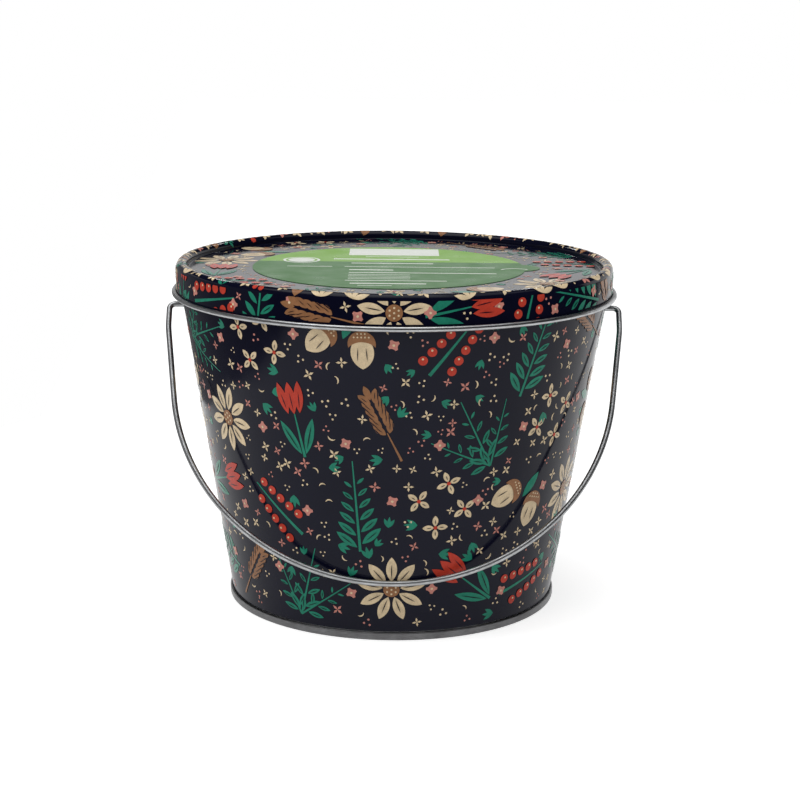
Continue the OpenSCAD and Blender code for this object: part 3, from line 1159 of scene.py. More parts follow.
    def nut(self, side: int) -> Place:
        """Gives the frame of one of the two acorns, from the foot of its nut."""
        at = framed(HOME, 0.62 * self.acorn_len * side, 0.1 * self.acorn_len * side, 180 + 24 * side)
        return framed(at, 0, -0.45 * self.acorn_len, 0)

    def dots(self) -> dict[Motif, list[Touch]]:
        """Gives the pale dots that lie over the other inks."""
        disc_r = 0.23 * self.daisy_d / 2
        ring = [framed(framed(HOME, 0, 0, 60 * i), 0, 0.6 * disc_r, 0) for i in range(6)] + [HOME]
        daisy = [Touch(x, y, turn, 0.4 * MM, 0.4 * MM) for x, y, turn in ring]
        berries = []
        for i in range(1, 6):
            for side in (-1, 1):
                x = side * (0.13 + 0.02 * (5 - i)) * self.sprig_len
                y = (0.17 * i - 0.5 + 0.06 * side) * self.sprig_len
                berries.append(Touch(x - 0.5 * MM, y + 0.55 * MM, 0, 0.42 * MM, 0.42 * MM))
        acorn = []
        for side in (-1, 1):
            for row, count in ((-0.06, 3), (0.045, 5)):
                for k in range(count):
                    across = 0.105 * self.acorn_len * (k - (count - 1) / 2)
                    x, y, turn = framed(self.nut(side), across, row * self.acorn_len, 0)
                    acorn.append(Touch(x, y, turn, 0.34 * MM, 0.34 * MM))
        star = [Touch(0, 0, 0, 0.5 * MM, 0.5 * MM)]
        return {Motif.DAISY: daisy, Motif.BERRIES: berries, Motif.ACORN: acorn, Motif.STAR: star}


def touch_up(name: str, sheet: Cone, length: float, lift: float, marks: list[Mark],
             touches: dict[Motif, list[Touch]], used: Thing, finish: Material, bare: list[Place]) -> Thing:
    """Rolls the fine touches of a print on to its sheet with Geometry Nodes.

    Args:
        name: The new piece's name.
        sheet: The sheet.
        length: Length of the print up the slant.
        lift: Distance out of the sheet.
        marks: The print's marks.
        touches: The touches of each kind of motif.
        used: A stamp of one unit, which is used up.
        finish: The material of the result.
        bare: Turn, slant and radius of each round place that stays bare.

    Returns:
        The touches as a plain mesh.
    """
    rows: list[tuple[float, ...]] = []
    for mark, touch in [(mark, touch) for mark in marks for touch in touches.get(mark.kind, [])]:
        across, along, _ = framed((0, 0, math.degrees(mark.spin)), touch.x, touch.y, 0)
        turn, slant, twist = sheet.beside(mark, across, along)
        spin = mark.spin + math.radians(touch.spin) + twist
        ends = (slant, slant + touch.long * math.cos(spin))
        girth = abs(sheet.ref_r + slant * math.sin(sheet.lean))
        gaps = [math.hypot(math.remainder(turn - t, 2 * math.pi) * girth, slant - s) - r for t, s, r in bare]
        if min(gaps, default=1) > 0 and min(ends) > END_MARGIN and max(ends) < length - END_MARGIN:
            rows.append((turn, slant, spin, touch.long, touch.wide))
    start = polyline(name, [Vector((0, 0, 0))] * len(rows))
    carry(start, **dict(zip(("turn", "slant", "spin", "long", "wide"), zip(*rows))))
    growth = sheet.begin(name)
    off = growth.input("Lift off the sheet", lift)
    spin = growth.out("ShaderNodeCombineXYZ", Z=growth.read("spin"))
    size = growth.out("ShaderNodeCombineXYZ", X=growth.read("wide"), Y=growth.read("long"), Z=1.0)
    strewn = growth.out("GeometryNodeInstanceOnPoints", Points=growth.size("Geometry"),
                        Instance=growth.shape(used), Rotation=spin, Scale=size)
    made = growth.grow(start, sheet.roll(growth, strewn, off), finish)
    bpy.data.objects.remove(used)
    return made


@dataclass
class Fillers:
    """Small motifs of one ink, strewn between the large ones by Geometry Nodes."""

    name: str
    sheet: Sheet
    length: float
    columns: int
    rows: int
    clearance: float
    seed: int
    seam_turn: float = 0.0
    lift: float = FILM_LIFT
    wander: float = 0.34
    smallest: float = 0.8
    largest: float = 1.15
    spin: Point = (0.0, 2 * math.pi)

    def grow(self, stamps: list[Thing], keep_off: list[Thing], finish: Material) -> Thing:
        """Strews the stamps over the sheet, clear of what is printed there already.

        Args:
            stamps: The flat stamps to choose from, which are used up.
            keep_off: Pieces that the stamps stay clear of.
            finish: The material of the result.

        Returns:
            The strewn stamps as a plain mesh.
        """
        growth = self.sheet.begin(self.name)
        lift = growth.input("Lift off the sheet", self.lift)
        seed = growth.input("Seed", self.seed, "NodeSocketInt")
        seeds = [growth.maths("ADD", seed, float(n)) for n in range(5)]
        points = self.clear(growth, self.scatter(growth, seeds[:2], lift), keep_off)
        origin = growth.out("ShaderNodeCombineXYZ")
        points = growth.out("GeometryNodeSetPosition", Geometry=points, Position=origin)
        which = growth.maths("FLOOR", growth.chance(0, len(stamps) - 0.01, seeds[2]))
        spin = growth.out("ShaderNodeCombineXYZ", Z=growth.chance(*self.spin, seeds[3]))
        smallest = growth.input("Smallest size", self.smallest)
        size = growth.chance(smallest, growth.input("Largest size", self.largest), seeds[4])
        scale = growth.out("ShaderNodeCombineXYZ", X=size, Y=size, Z=1.0)
        choice = growth.bundle("GeometryNodeGeometryToInstance", stamps)
        strewn = growth.out("GeometryNodeInstanceOnPoints", Points=points, Instance=choice, Rotation=spin,
                            Scale=scale, Instance_Index=which, Pick_Instance=True)
        rolled = self.sheet.roll(growth, strewn, lift)
        made = growth.grow(polyline(self.name, [Vector((0, 0, 0))]), rolled, finish)
        for used in stamps:
            bpy.data.objects.remove(used)
        return made

    def scatter(self, growth: Growth, seeds: list[Socket], lift: Socket) -> Socket:
        """Lays points out in shifted rows on the sheet, each moved a little by chance.

        Args:
            growth: The tree.
            seeds: The seeds for the moves round and up the sheet.
            lift: Distance out of the sheet.

        Returns:
            The points, which carry their turn and slant.
        """
        across = growth.input("Columns", self.columns, "NodeSocketInt")
        up = growth.input("Rows", self.rows, "NodeSocketInt")
        wander = growth.input("Wander up and down", self.wander)
        length = growth.input("Length of the slant", self.length)
        x, y, _ = growth.place()
        y = growth.maths("ADD", y, 0.5)
        row = growth.maths("ROUND", growth.maths("MULTIPLY", y, growth.maths("SUBTRACT", up, 1.0)))
        step = growth.maths("DIVIDE", 1.0, across)
        half_step = growth.maths("MULTIPLY", step, 0.5)
        shift = growth.maths("MULTIPLY", growth.maths("MODULO", row, 2.0), half_step)
        jitter = growth.maths("MULTIPLY", growth.chance(-0.36, 0.36, seeds[0]), step)
        x = growth.maths("ADD", growth.maths("ADD", x, shift), jitter)
        jitter = growth.maths("MULTIPLY", growth.chance(-1.0, 1.0, seeds[1]), wander)
        y = growth.maths("ADD", y, growth.maths("DIVIDE", jitter, up))
        points = growth.out("GeometryNodeMeshGrid", Vertices_X=across, Vertices_Y=up)
        points = growth.write(points, "turn", growth.maths("MULTIPLY", x, 2 * math.pi))
        points = growth.write(points, "slant", growth.maths("MULTIPLY", y, length))
        spot = self.sheet.spot(growth, growth.read("turn"), growth.read("slant"), lift)
        return growth.out("GeometryNodeSetPosition", Geometry=points, Position=spot)

    def clear(self, growth: Growth, points: Socket, keep_off: list[Thing]) -> Socket:
        """Takes out the points that lie too near to the print, the seam or the ends of the sheet.

        Args:
            growth: The tree.
            points: The points.
            keep_off: Pieces that the points stay clear of.

        Returns:
            The points that stay.
        """
        clearance = growth.input("Clearance", self.clearance)
        seam = growth.input("Half of the seam's turn", self.seam_turn)
        joined = growth.bundle("GeometryNodeJoinGeometry", keep_off)
        near = growth.node("GeometryNodeProximity", {"target_element": "FACES"})
        growth.feed(near.inputs[0], growth.out("GeometryNodeRealizeInstances", Geometry=joined))
        growth.feed(near.inputs["Sample Position"], growth.out("GeometryNodeInputPosition"))
        past = growth.maths("SUBTRACT", math.pi, growth.maths("ABSOLUTE", growth.read("turn")))
        margin = growth.maths("MULTIPLY", clearance, 0.6)
        end = growth.maths("SUBTRACT", growth.size("Length of the slant"), margin)
        bad = growth.maths("LESS_THAN", near.outputs["Distance"], clearance)
        for what, value, limit in (("LESS_THAN", past, seam), ("LESS_THAN", growth.read("slant"), margin),
                                   ("GREATER_THAN", growth.read("slant"), end)):
            bad = growth.maths("MAXIMUM", bad, growth.maths(what, value, limit))
        return growth.out("GeometryNodeDeleteGeometry", Geometry=points, Selection=bad)


@dataclass
class TinWork:
    """Sizes that the wall, the base and the lid share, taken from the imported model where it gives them."""

    sheet: float = 0.28 * MM
    foot_r: float = 65.6 * MM
    neck_h: float = 1.1 * MM
    curl_r: float = 1.72 * MM
    seam_w: float = 5 * MM
    foot_h: float = 3 * MM
    fold_gap: float = 0.04 * MM
    foot_bend: float = 0.35 * MM
    base_rise: float = 3 * MM
    lid_fit: float = 0.3 * MM
    lid_h: float = 13.4 * MM
    panel_recess: float = 3.3 * MM
    bead_r: float = 1.05 * MM
    panel_bend: float = 0.6 * MM
    pivot_z: float = 118 * MM

    def __post_init__(self) -> None:
        """Works out what follows from the sizes."""
        wall_top, lid_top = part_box("bucket_wall")[1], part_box("lid")[1]
        self.mouth_r: float = wall_top[0]
        self.mouth_h: float = wall_top[2]
        self.lid_top: float = lid_top[2]
        self.fold: float = self.sheet + self.fold_gap
        self.lean_from: float = self.foot_h + self.sheet
        self.lean_to: float = self.mouth_h - self.curl_r - self.neck_h
        self.lean: float = math.atan2(self.mouth_r - self.foot_r, self.lean_to - self.lean_from)
        self.hook_turn: float = self.sheet / 2 + 2 * self.fold
        self.rim_centre: float = self.mouth_r - self.curl_r
        self.rim_r: float = self.curl_r + self.lid_fit + self.sheet
        self.panel_z: float = self.lid_top - self.panel_recess
        self.bead_z: float = self.lid_top - self.lid_h + self.bead_r

    def wall_mid(self, height: float) -> float:
        """Radius of the middle of the wall at a height."""
        return self.foot_r - self.sheet / 2 + (height - self.lean_from) * math.tan(self.lean)

    def wall_out(self, height: float) -> float:
        """Radius of the outside of the wall at a height."""
        return self.wall_mid(height) + self.sheet / 2 / math.cos(self.lean)

    def wall_path(self) -> SheetPath:
        """Goes from the hooked foot under the base's hook, up the wall and round the mouth's curl."""
        lean = math.degrees(self.lean)
        inner = self.foot_r - self.sheet / 2
        path = SheetPath()
        path.stop((inner + 2 * self.fold, self.foot_h - self.sheet - 1.5 * self.fold), -90)
        path.bend((inner + self.fold, self.hook_turn), self.fold, 0, -180, 18)
        path.corner((inner, self.lean_from), 90, 90 - lean)
        path.corner((self.mouth_r - self.sheet / 2, self.lean_to), 90 - lean, 90)
        return path.bend((self.rim_centre, self.mouth_h - self.curl_r), self.curl_r - self.sheet / 2, 0, 290)

    def base_path(self) -> SheetPath:
        """Goes from the panel's middle down inside the wall and round under it into the folded hook."""
        inner = self.foot_r - self.sheet / 2 - self.fold
        outer = inner + 4 * self.fold
        top = self.foot_h - self.sheet / 2 - self.fold
        middle = self.sheet / 2
        panel = self.base_rise + middle
        path = SheetPath()
        path.stop((0, panel), 0)
        path.bend((inner - self.panel_bend, panel - self.panel_bend), self.panel_bend, 90, 0, 12)
        path.bend((inner + self.foot_bend, middle + self.foot_bend), self.foot_bend, 180, 270, 15)
        path.bend((outer - self.foot_bend, middle + self.foot_bend), self.foot_bend, 270, 360, 9)
        path.bend((outer - self.fold, top), self.fold, 0, 180, 9)
        return path.stop((outer - 2 * self.fold, self.hook_turn + middle), -90)

    def lid_path(self) -> SheetPath:
        """Goes from the panel's middle up and over the rim, down the skirt and round the outward curl."""
        middle = self.sheet / 2
        bend_r = self.rim_centre - self.rim_r + middle - self.panel_bend
        bead_centre = self.mouth_r + self.lid_fit + self.bead_r
        path = SheetPath()
        path.stop((0, self.panel_z - middle), 0)
        path.bend((bend_r, self.panel_z - middle + self.panel_bend), self.panel_bend, 270, 360, 9)
        path.bend((self.rim_centre, self.lid_top - self.rim_r), self.rim_r - middle, 180, 0)
        return path.bend((bead_centre, self.bead_z), self.bead_r - middle, 180, 480)


class Finishes:
    """The materials, each made once."""

    def __init__(self) -> None:
        """Makes them all."""
        self.ground = LithoGround().build()
        self.inks = {ink: LithoInk(ink).build() for ink in Ink}
        self.edge_tin = BareTin("edge_tin", (0.54, 0.55, 0.56), roughness=0.3, lines=5000).build()
        self.foot_tin = BareTin("foot_tin", (0.2, 0.2, 0.205), roughness=0.3, lines=4000).build()
        self.wire_tin = BareTin("wire_tin", (0.52, 0.53, 0.54), roughness=0.36, lines=3000,
                                stretch=(0.12, 1.0, 1.0)).build()
        self.paper = LabelPaper().build()
        self.white = LabelInk("label_white", paint(236, 240, 232)).build()
        self.wax = PouredWax().build()
        self.cotton = Cotton().build()


@dataclass
class Bucket:
    """The wall with its curled mouth and lock seam, and the base that is seamed to it."""

    tin: TinWork
    finishes: Finishes
    bare_w: float = 2 * MM
    bare_hole_r: float = 3.6 * MM
    hole_margin: float = 1 * MM
    seam_margin: float = 0.5 * MM
    seam_stops: int = 30
    row_h: float = 30 * MM
    seam_bevel: float = 0.15 * MM
    art: Artwork = field(default_factory=Artwork)

    def build(self) -> None:
        """Makes the wall and the base."""
        tin = self.tin
        wall = revolve("bucket_wall_skin", tin.wall_path().outline(tin.sheet))
        self.add_lock_seam(wall)
        dress(wall, Body.BUCKET, self.finishes.ground, "printed_wall", "bucket_wall")
        wall.data.materials.append(self.finishes.edge_tin)
        for face in wall.data.polygons:
            if self.is_bare(face):
                face.material_index = 1
        base = revolve("bucket_base_skin", tin.base_path().outline(tin.sheet))
        dress(base, Body.BUCKET, self.finishes.foot_tin, "bare_tin", "bucket_base")
        self.print_wall(keep_print("wall", self.finishes))

    def is_bare(self, face: bpy.types.MeshPolygon) -> bool:
        """Tells whether a face is on the wall's bare inside."""
        height = face.center.z
        faces_in = face.normal.dot(outward(face)) < 0.2
        return height < self.tin.lean_from or (height < self.tin.lean_to and faces_in)

    def print_wall(self, off: list[Thing]) -> None:
        """Adds the wall's print: the large motifs' fine touches, and the small motifs between them.

        Args:
            off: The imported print, which the small motifs stay clear of.
        """
        tin = self.tin
        low, high = tin.lean_from + self.bare_w, tin.lean_to - self.bare_w
        length = (high - low) / math.cos(tin.lean)
        cone = Cone(tin.wall_out(low), low, tin.lean)
        hole = (tin.pivot_z - low) / math.cos(tin.lean)
        clear = [(side * math.pi / 2, hole, self.bare_hole_r + self.hole_margin) for side in (-1, 1)]
        bare_half = self.bare_w + tin.seam_w / 2 + self.seam_margin
        clear += [(math.pi, length * i / self.seam_stops, bare_half) for i in range(self.seam_stops + 1)]
        marks = self.art.wall_marks(low, high, round((high - low) / self.row_h), tin.lean)
        add_touches("wall", Body.BUCKET, cone, length, marks, self.art, self.finishes, clear)
        spots = self.bare_spots()
        plan = Fillers("wall_fillers", cone, length, columns=62, rows=19, clearance=2.3 * MM, seed=11,
                       seam_turn=(tin.seam_w / 2 + self.bare_w) / tin.foot_r)
        strew(plan, Body.BUCKET, off + [spots], self.finishes, small_stamps())
        bpy.data.objects.remove(spots)

    def bare_spots(self) -> Thing:
        """Makes discs round the bail holes that the small motifs stay clear of."""
        mesh = bmesh.new()
        for side in (-1, 1):
            turn = Matrix.Translation((side * self.tin.wall_out(self.tin.pivot_z), 0, self.tin.pivot_z))
            bmesh.ops.create_circle(mesh, cap_ends=True, radius=self.bare_hole_r, segments=12,
                                    matrix=turn @ Matrix.Rotation(math.pi / 2, 4, "Y"))
        return finished("bare_spots", mesh)

    def add_lock_seam(self, wall: Thing) -> None:
        """Adds the folded seam up the inside of the wall's back.

        Args:
            wall: The wall's piece, which the seam becomes part of.
        """
        tin = self.tin
        low = tin.base_rise + 2 * tin.sheet
        rise = (tin.lean_to - tin.curl_r - low) / math.cos(tin.lean)
        depth = 3 * tin.sheet
        box = bmesh.new()
        bmesh.ops.create_cube(box, size=1)
        bmesh.ops.scale(box, vec=(tin.seam_w, depth, rise), verts=box.verts)
        bmesh.ops.translate(box, vec=(0, -tin.sheet / 2 - depth / 2, rise / 2), verts=box.verts)
        bmesh.ops.bevel(box, geom=box.edges[:], offset=self.seam_bevel, segments=2, affect="EDGES")
        place = Matrix.Translation((0, tin.wall_mid(low), low)) @ Matrix.Rotation(-tin.lean, 4, "X")
        bmesh.ops.transform(box, matrix=place, verts=box.verts)
        seam = bpy.data.meshes.new("lock_seam")
        box.to_mesh(seam)
        box.free()
        joined = bmesh.new()
        joined.from_mesh(wall.data)
        joined.from_mesh(seam)
        joined.to_mesh(wall.data)
        joined.free()
        bpy.data.meshes.remove(seam)


def outward(face: bpy.types.MeshPolygon) -> Vector:
    """Gives the level direction from the axis to a face."""
    return Vector((face.center.x, face.center.y, 0)).normalized()


def strew(plan: Fillers, body: Body, off: list[Thing], finishes: Finishes,
          stamps: dict[Ink, list[Thing]]) -> list[Thing]:
    """Strews motifs of each ink by one plan, clear of the print and of each other.

    Args:
        plan: The plan, whose name and seed each ink adds to.
        body: The body that carries them.
        off: Pieces that they stay clear of.
        finishes: The materials.
        stamps: The motifs of each ink.

    Returns:
        The pieces to stay clear of, with the new ones.
    """
    taken = list(off)
    for n, (ink, shapes) in enumerate(stamps.items()):
        own = replace(plan, name=f"{plan.name}_{ink.name.lower()}", seed=plan.seed + 7 * n)
        piece = own.grow(shapes, taken, finishes.inks[ink])
        dress(piece, body, finishes.inks[ink], f"ink_{ink.name.lower()}")
        taken.append(piece)
    return taken


def add_touches(name: str, body: Body, sheet: Cone, length: float, marks: list[Mark], art: Artwork,
                finishes: Finishes, bare: list[Place]) -> None:
    """Adds the dark lines and the pale dots of a print's large motifs.

    Args:
        name: The print's name.
        body: The body that carries it.
        sheet: The sheet that it is on.
        length: Length of the print up the slant.
        marks: The print's marks.
        art: The motifs.
        finishes: The materials.
        bare: Turn, slant and radius of each round place that stays bare.
    """
    ground = "printed_lid" if body is Body.LID else "printed_wall"
    for kind, touches, unit, lift, finish, slot in (
            ("lines", art.lines(), leaf(1.0, 1.0), TOUCH_LIFT, finishes.ground, ground),
            ("dots", art.dots(), round_spot(1.0, sides=10), TOUCH_LIFT + INK_T, finishes.inks[Ink.CREAM],
             "ink_cream")):
        used = stamp(f"unit_{kind}", unit)
        piece = touch_up(f"{name}_{kind}", sheet, length, lift, marks, touches, used, finish, bare)
        dress(piece, body, finish, slot)


def stamp_set(designs: dict[Ink, dict[str, Outlines]], cell: float) -> dict[Ink, list[Thing]]:
    """Makes stamps of each ink's named designs, cut into cells of one side or, for 0, left whole."""
    return {ink: [stamp(f"{ink.name.lower()}_{name}", shapes, cell) for name, shapes in named.items()]
            for ink, named in designs.items()}


def rim_stamps(cell: float) -> dict[Ink, list[Thing]]:
    """Makes the motifs that run over the lid's rounded rim, by ink.

    Args:
        cell: Side of the cells that they are cut into.

    Returns:
        The stamps of each ink.
    """
    petal = leaf(6.4 * MM, 2.3 * MM, 6)
    fan = [s for turn in (-56, 0, 56) for s in moved(petal, turn, (0, -3.2 * MM))]
    nut = moved(leaf(6.2 * MM, 4.6 * MM, 8), 0, (0, -3.1 * MM))
    pair = [s for turn in (52, -52) for s in leaf_at(3.6 * MM, 1.4 * MM, turn)]
    frond = [s for y in (-3.2, -1.0, 1.2) for s in moved(pair, 0, (0, y * MM))]
    bloom = [s for i in range(4) for s in moved(leaf(3.0 * MM, 1.7 * MM), 90 * i + 45)]
    spots = ((-1.6, -1.4), (1.6, -1.4), (0, 1.5))
    berries = [s for x, y in spots for s in round_spot(1.3 * MM, (x * MM, y * MM))]
    designs = {Ink.CREAM: {"fan": fan, "bloom": bloom}, Ink.GREEN: {"frond": frond}, Ink.BROWN: {"nut": nut},
               Ink.PINK: {"bloom": bloom}, Ink.RED: {"berries": berries}}
    return stamp_set(designs, cell)


def leaf_at(long: float, wide: float, turn: float) -> Outlines:
    """Gives a slim leaf that starts a little way out from the origin, turned by some degrees."""
    return moved(moved(leaf(long, wide), 0, (0, 0.2 * MM)), turn)


def small_stamps(cell: float = 0.0) -> dict[Ink, list[Thing]]:
    """Makes the small motifs that fill the print's ground, by ink.

    Args:
        cell: Side of the cells that they are cut into, or 0 for none.

    Returns:
        The stamps of each ink.
    """
    star = [s for i in range(4) for s in moved(leaf(2.1 * MM, 0.9 * MM, 2), 90 * i)]
    spots = [(1.2 * MM * math.cos(2.1 * i), 1.2 * MM * math.sin(2.1 * i)) for i in range(3)]
    dots = [s for spot in spots for s in round_spot(0.42 * MM, spot)]
    outer = [(1.5 * MM * math.cos(0.25 * i), 1.5 * MM * math.sin(0.25 * i)) for i in range(-5, 6)]
    inner = [(0.55 * x + 0.1 * MM, 0.92 * y) for x, y in outer]
    crescent = [[inner[i], outer[i], outer[i + 2], inner[i + 2]] for i in range(0, 10, 2)]
    sprig = [s for turn in (28, -28) for s in moved(leaf(4.2 * MM, 1.4 * MM), turn)]
    sprig += leaf(4.6 * MM, 1.3 * MM)
    designs = {Ink.CREAM: {"star": star, "dots": dots, "crescent": crescent},
               Ink.PINK: {"star": star, "dots": dots}, Ink.GREEN: {"sprig": sprig}}
    return stamp_set(designs, cell)


def keep_print(name: str, finishes: Finishes) -> list[Thing]:
    """Dresses the five inks of a packed print, by its sheet's name, and gives their pieces."""
    return [keep_node(f"{name}_print_{ink.name.lower()}", finishes.inks[ink]) for ink in Ink]


@dataclass
class Lid:
    """The slip lid with its print, its bare curled edge and its label."""

    tin: TinWork
    finishes: Finishes
    bare_w: float = 0.5 * MM
    label_t: float = 0.15 * MM
    panel_from: float = 50 * MM
    rim_start: float = 0.15
    cell: float = 0.6 * MM
    art: Artwork = field(default_factory=Artwork)

    def build(self) -> None:
        """Makes the lid and dresses its label."""
        tin = self.tin
        lid = revolve("lid_skin", tin.lid_path().outline(tin.sheet))
        dress(lid, Body.LID, self.finishes.ground, "printed_lid", "lid")
        lid.data.materials.append(self.finishes.edge_tin)
        for face in lid.data.polygons:
            if self.is_bare(face):
                face.material_index = 1
        label = keep_node("lid_label", self.finishes.paper)
        self.print_lid(keep_print("lid", self.finishes), label)
        LabelPrint(tin.panel_z + self.label_t, self.finishes).build()

    def is_bare(self, face: bpy.types.MeshPolygon) -> bool:
        """Tells whether a face is on the lid's bare curled edge or on its bare inside."""
        tin = self.tin
        radius, height = math.hypot(face.center.x, face.center.y), face.center.z
        past_skirt = radius > tin.mouth_r + tin.lid_fit + 1.2 * tin.sheet
        on_edge = height < tin.bead_z or (past_skirt and height < tin.bead_z + 0.9 * tin.bead_r)
        skirt_inside = radius > tin.rim_centre and face.normal.dot(outward(face)) < -0.5
        return on_edge or skirt_inside or face.normal.z < -0.6

    def print_lid(self, off: list[Thing], label: Thing) -> None:
        """Adds the fine touches and the small motifs of the lid's print: skirt, panel and rounded rim.

        Args:
            off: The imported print, which the small motifs stay clear of.
            label: The label, which they stay clear of too.
        """
        tin, art = self.tin, self.art
        low = tin.bead_z + tin.bead_r + self.bare_w
        height = tin.lid_top - tin.rim_r - low
        skirt = Cone(tin.mouth_r + tin.lid_fit + tin.sheet, low, 0.0)
        add_touches("skirt", Body.LID, skirt, height, art.skirt_marks(height / 2), art, self.finishes, [])
        panel = Cone(tin.rim_centre - tin.rim_r - tin.panel_bend, tin.panel_z, -math.pi / 2)
        ring_w = panel.ref_r - self.panel_from
        add_touches("panel", Body.LID, panel, ring_w, art.panel_marks(panel.ref_r), art, self.finishes, [])
        rim = Torus(tin.rim_centre, tin.lid_top - tin.rim_r, tin.rim_r, self.rim_start)
        over = (math.pi - 2 * self.rim_start) * tin.rim_r
        plan = Fillers("skirt_fillers", skirt, height, columns=104, rows=4, clearance=1.9 * MM, seed=41)
        strew(plan, Body.LID, off, self.finishes, small_stamps())
        plan = Fillers("panel_fillers", panel, ring_w, columns=60, rows=7, clearance=2.3 * MM, seed=71)
        strew(plan, Body.LID, off + [label], self.finishes, small_stamps())
        plan = Fillers("rim_motifs", rim, over, columns=34, rows=1, clearance=3.9 * MM, seed=211, wander=0.08,
                       smallest=0.85, largest=1.05, spin=(-0.5, 0.5))
        taken = strew(plan, Body.LID, [label], self.finishes, rim_stamps(self.cell))
        plan = Fillers("rim_fillers", rim, over, columns=80, rows=3, clearance=1.9 * MM, seed=101,
                       largest=1.3)
        strew(plan, Body.LID, taken, self.finishes, small_stamps(self.cell))


@dataclass(frozen=True)
class Row:
    """A plain rule on the label, in millimetres."""

    left: float
    right: float
    y: float
    high: float


@dataclass
class LabelPrint:
    """The plain print on the label: a blank box, a plain badge, rules and a curved mark by the tab."""

    top: float
    finishes: Finishes
    box: tuple[float, float, float, float] = (-19 * MM, 30.5 * MM, 18.5 * MM, 49.3 * MM)
    badge: Point = (-38 * MM, 16 * MM)
    badge_r: float = 7.6 * MM
    curve: Point = (48 * MM, -8.5 * MM)
    curve_radii: Point = (6.8 * MM, 6.0 * MM)
    curve_span: Point = (40, 150)
    rows: tuple[Row, ...] = (
        Row(-12, 10, 26.5, 1.0), Row(-25, 22.5, 19.5, 2.0), Row(-17.5, 15.5, 8.5, 1.5), Row(-20, 40, -1, 0.9),
        Row(-43, -25, -1, 0.9), Row(-18, -0.5, -9, 1.9), Row(-18, 40, -16, 1.2), Row(-18, 6, -21, 0.7),
        Row(-18, 6, -24.5, 0.7), Row(-18, 6, -28, 0.7), Row(-18, 6, -31.2, 0.7), Row(-19, 20, -35.6, 1.1),
        Row(-17, 12, -42.6, 1.7), Row(-14, -1, -47.5, 0.8))

    def build(self) -> None:
        """Makes the white print."""
        left, low, right, high = self.box
        shapes = [[(left, low), (right, low), (right, high), (left, high)]]
        shapes += self.ring(self.badge, self.badge_r, 0.86 * self.badge_r)
        shapes += round_spot(0.72 * self.badge_r, self.badge, 28)
        shapes += self.ring(self.curve, *self.curve_radii, *self.curve_span)
        marks = stamp("label_marks", shapes)
        marks.data.transform(Matrix.Translation((0, 0, self.top)))
        for piece in (marks, self.rules()):
            dress(piece, Body.LID, self.finishes.white)

    def ring(self, centre: Point, outer: float, inner: float, start: float = 0, end: float = 360) -> Outlines:
        """Gives a ring, or a stretch of one between two angles in degrees, as a strip."""
        far, near = (arc(centre, radius, start, end, 12) for radius in (outer, inner))
        return [[near[i], far[i], far[i + 1], near[i + 1]] for i in range(len(far) - 1)]

    def rules(self) -> Thing:
        """Sets the rows of rules with Geometry Nodes."""
        start = polyline("label_rules", [Vector((r.left * MM, r.y * MM, self.top)) for r in self.rows])
        carry(start, long=[(r.right - r.left) * MM for r in self.rows], high=[r.high * MM for r in self.rows])
        rule = stamp("unit_rule", [[(0, -0.5), (1, -0.5), (1, 0.5), (0, 0.5)]])
        growth = Growth("label_rules")
        size = growth.out("ShaderNodeCombineXYZ", X=growth.read("long"), Y=growth.read("high"), Z=1.0)
        placed_rules = growth.out("GeometryNodeInstanceOnPoints", Points=growth.size("Geometry"),
                                  Instance=growth.shape(rule), Scale=size)
        made = growth.grow(start, placed_rules, self.finishes.white)
        bpy.data.objects.remove(rule)
        return made


@dataclass
class Bail:
    """The wire bail, from one hooked end through the wall, round the front and back."""

    tin: TinWork
    finishes: Finishes
    wire_r: float = 1.15 * MM
    leg_in: float = 3.3 * MM
    bail_drop: float = 30.5 * MM
    swing_gap: float = 0.25 * MM
    tight_bend: float = 2.2 * MM
    soft_bend: float = 30 * MM
    hook_len: float = 7.5 * MM
    hook_end: float = 0.5 * MM
    film_top: float = 0.25 * MM
    sides: int = 24

    def build(self) -> None:
        """Sweeps the wire and dresses it."""
        bail = wire("bail_wire", self.middle(), self.wire_r, self.sides, self.finishes.wire_tin)
        dress(bail, Body.BAIL, self.finishes.wire_tin, "bail_wire", "bail")

    def middle(self) -> list[Vector]:
        """Gives the points of the wire's middle, from the left hooked end to the right one."""
        tin, tight, soft = self.tin, self.tight_bend, self.soft_bend
        leg_x = tin.mouth_r + tin.lid_fit + 2 * tin.bead_r + self.wire_r + self.swing_gap
        straight = tin.bead_z - tin.pivot_z + tin.bead_r + self.swing_gap
        bail_r = leg_x - self.leg_in
        reach = Vector((leg_x - soft, self.bail_drop - straight))
        turn = math.degrees(math.acos((bail_r - soft) / reach.length) - math.atan2(reach.y, reach.x))
        hook_end_z = tin.pivot_z - self.hook_len - self.wire_r
        wall_in = tin.wall_mid(hook_end_z) - tin.sheet / 2 / math.cos(tin.lean)
        hook_x = wall_in - self.wire_r - self.swing_gap
        off = tin.wall_out(tin.pivot_z) * math.cos(tin.lean) + self.film_top + self.wire_r + self.swing_gap
        lean = math.asin(off / (self.bail_drop + bail_r)) - tin.lean

        right: list[Point] = [(hook_x, -self.hook_len), (hook_x, -tight - self.hook_end)]
        right += arc((hook_x + tight, -tight), tight, 180, 90, 8)
        right += arc((leg_x - tight, -tight), tight, 90, 0, 8)
        right += [(leg_x, -0.6 * straight)]
        right += arc((leg_x - soft, -straight), soft, 0, -turn, 2)
        right += arc((0, -self.bail_drop), bail_r, -turn, -90, 1.5)
        left = [(-x, z) for x, z in right[:-1]]
        place = Matrix.Translation((0, 0, tin.pivot_z)) @ Matrix.Rotation(-lean, 4, "X")
        return [place @ Vector((x, 0, z)) for x, z in left + right[::-1]]


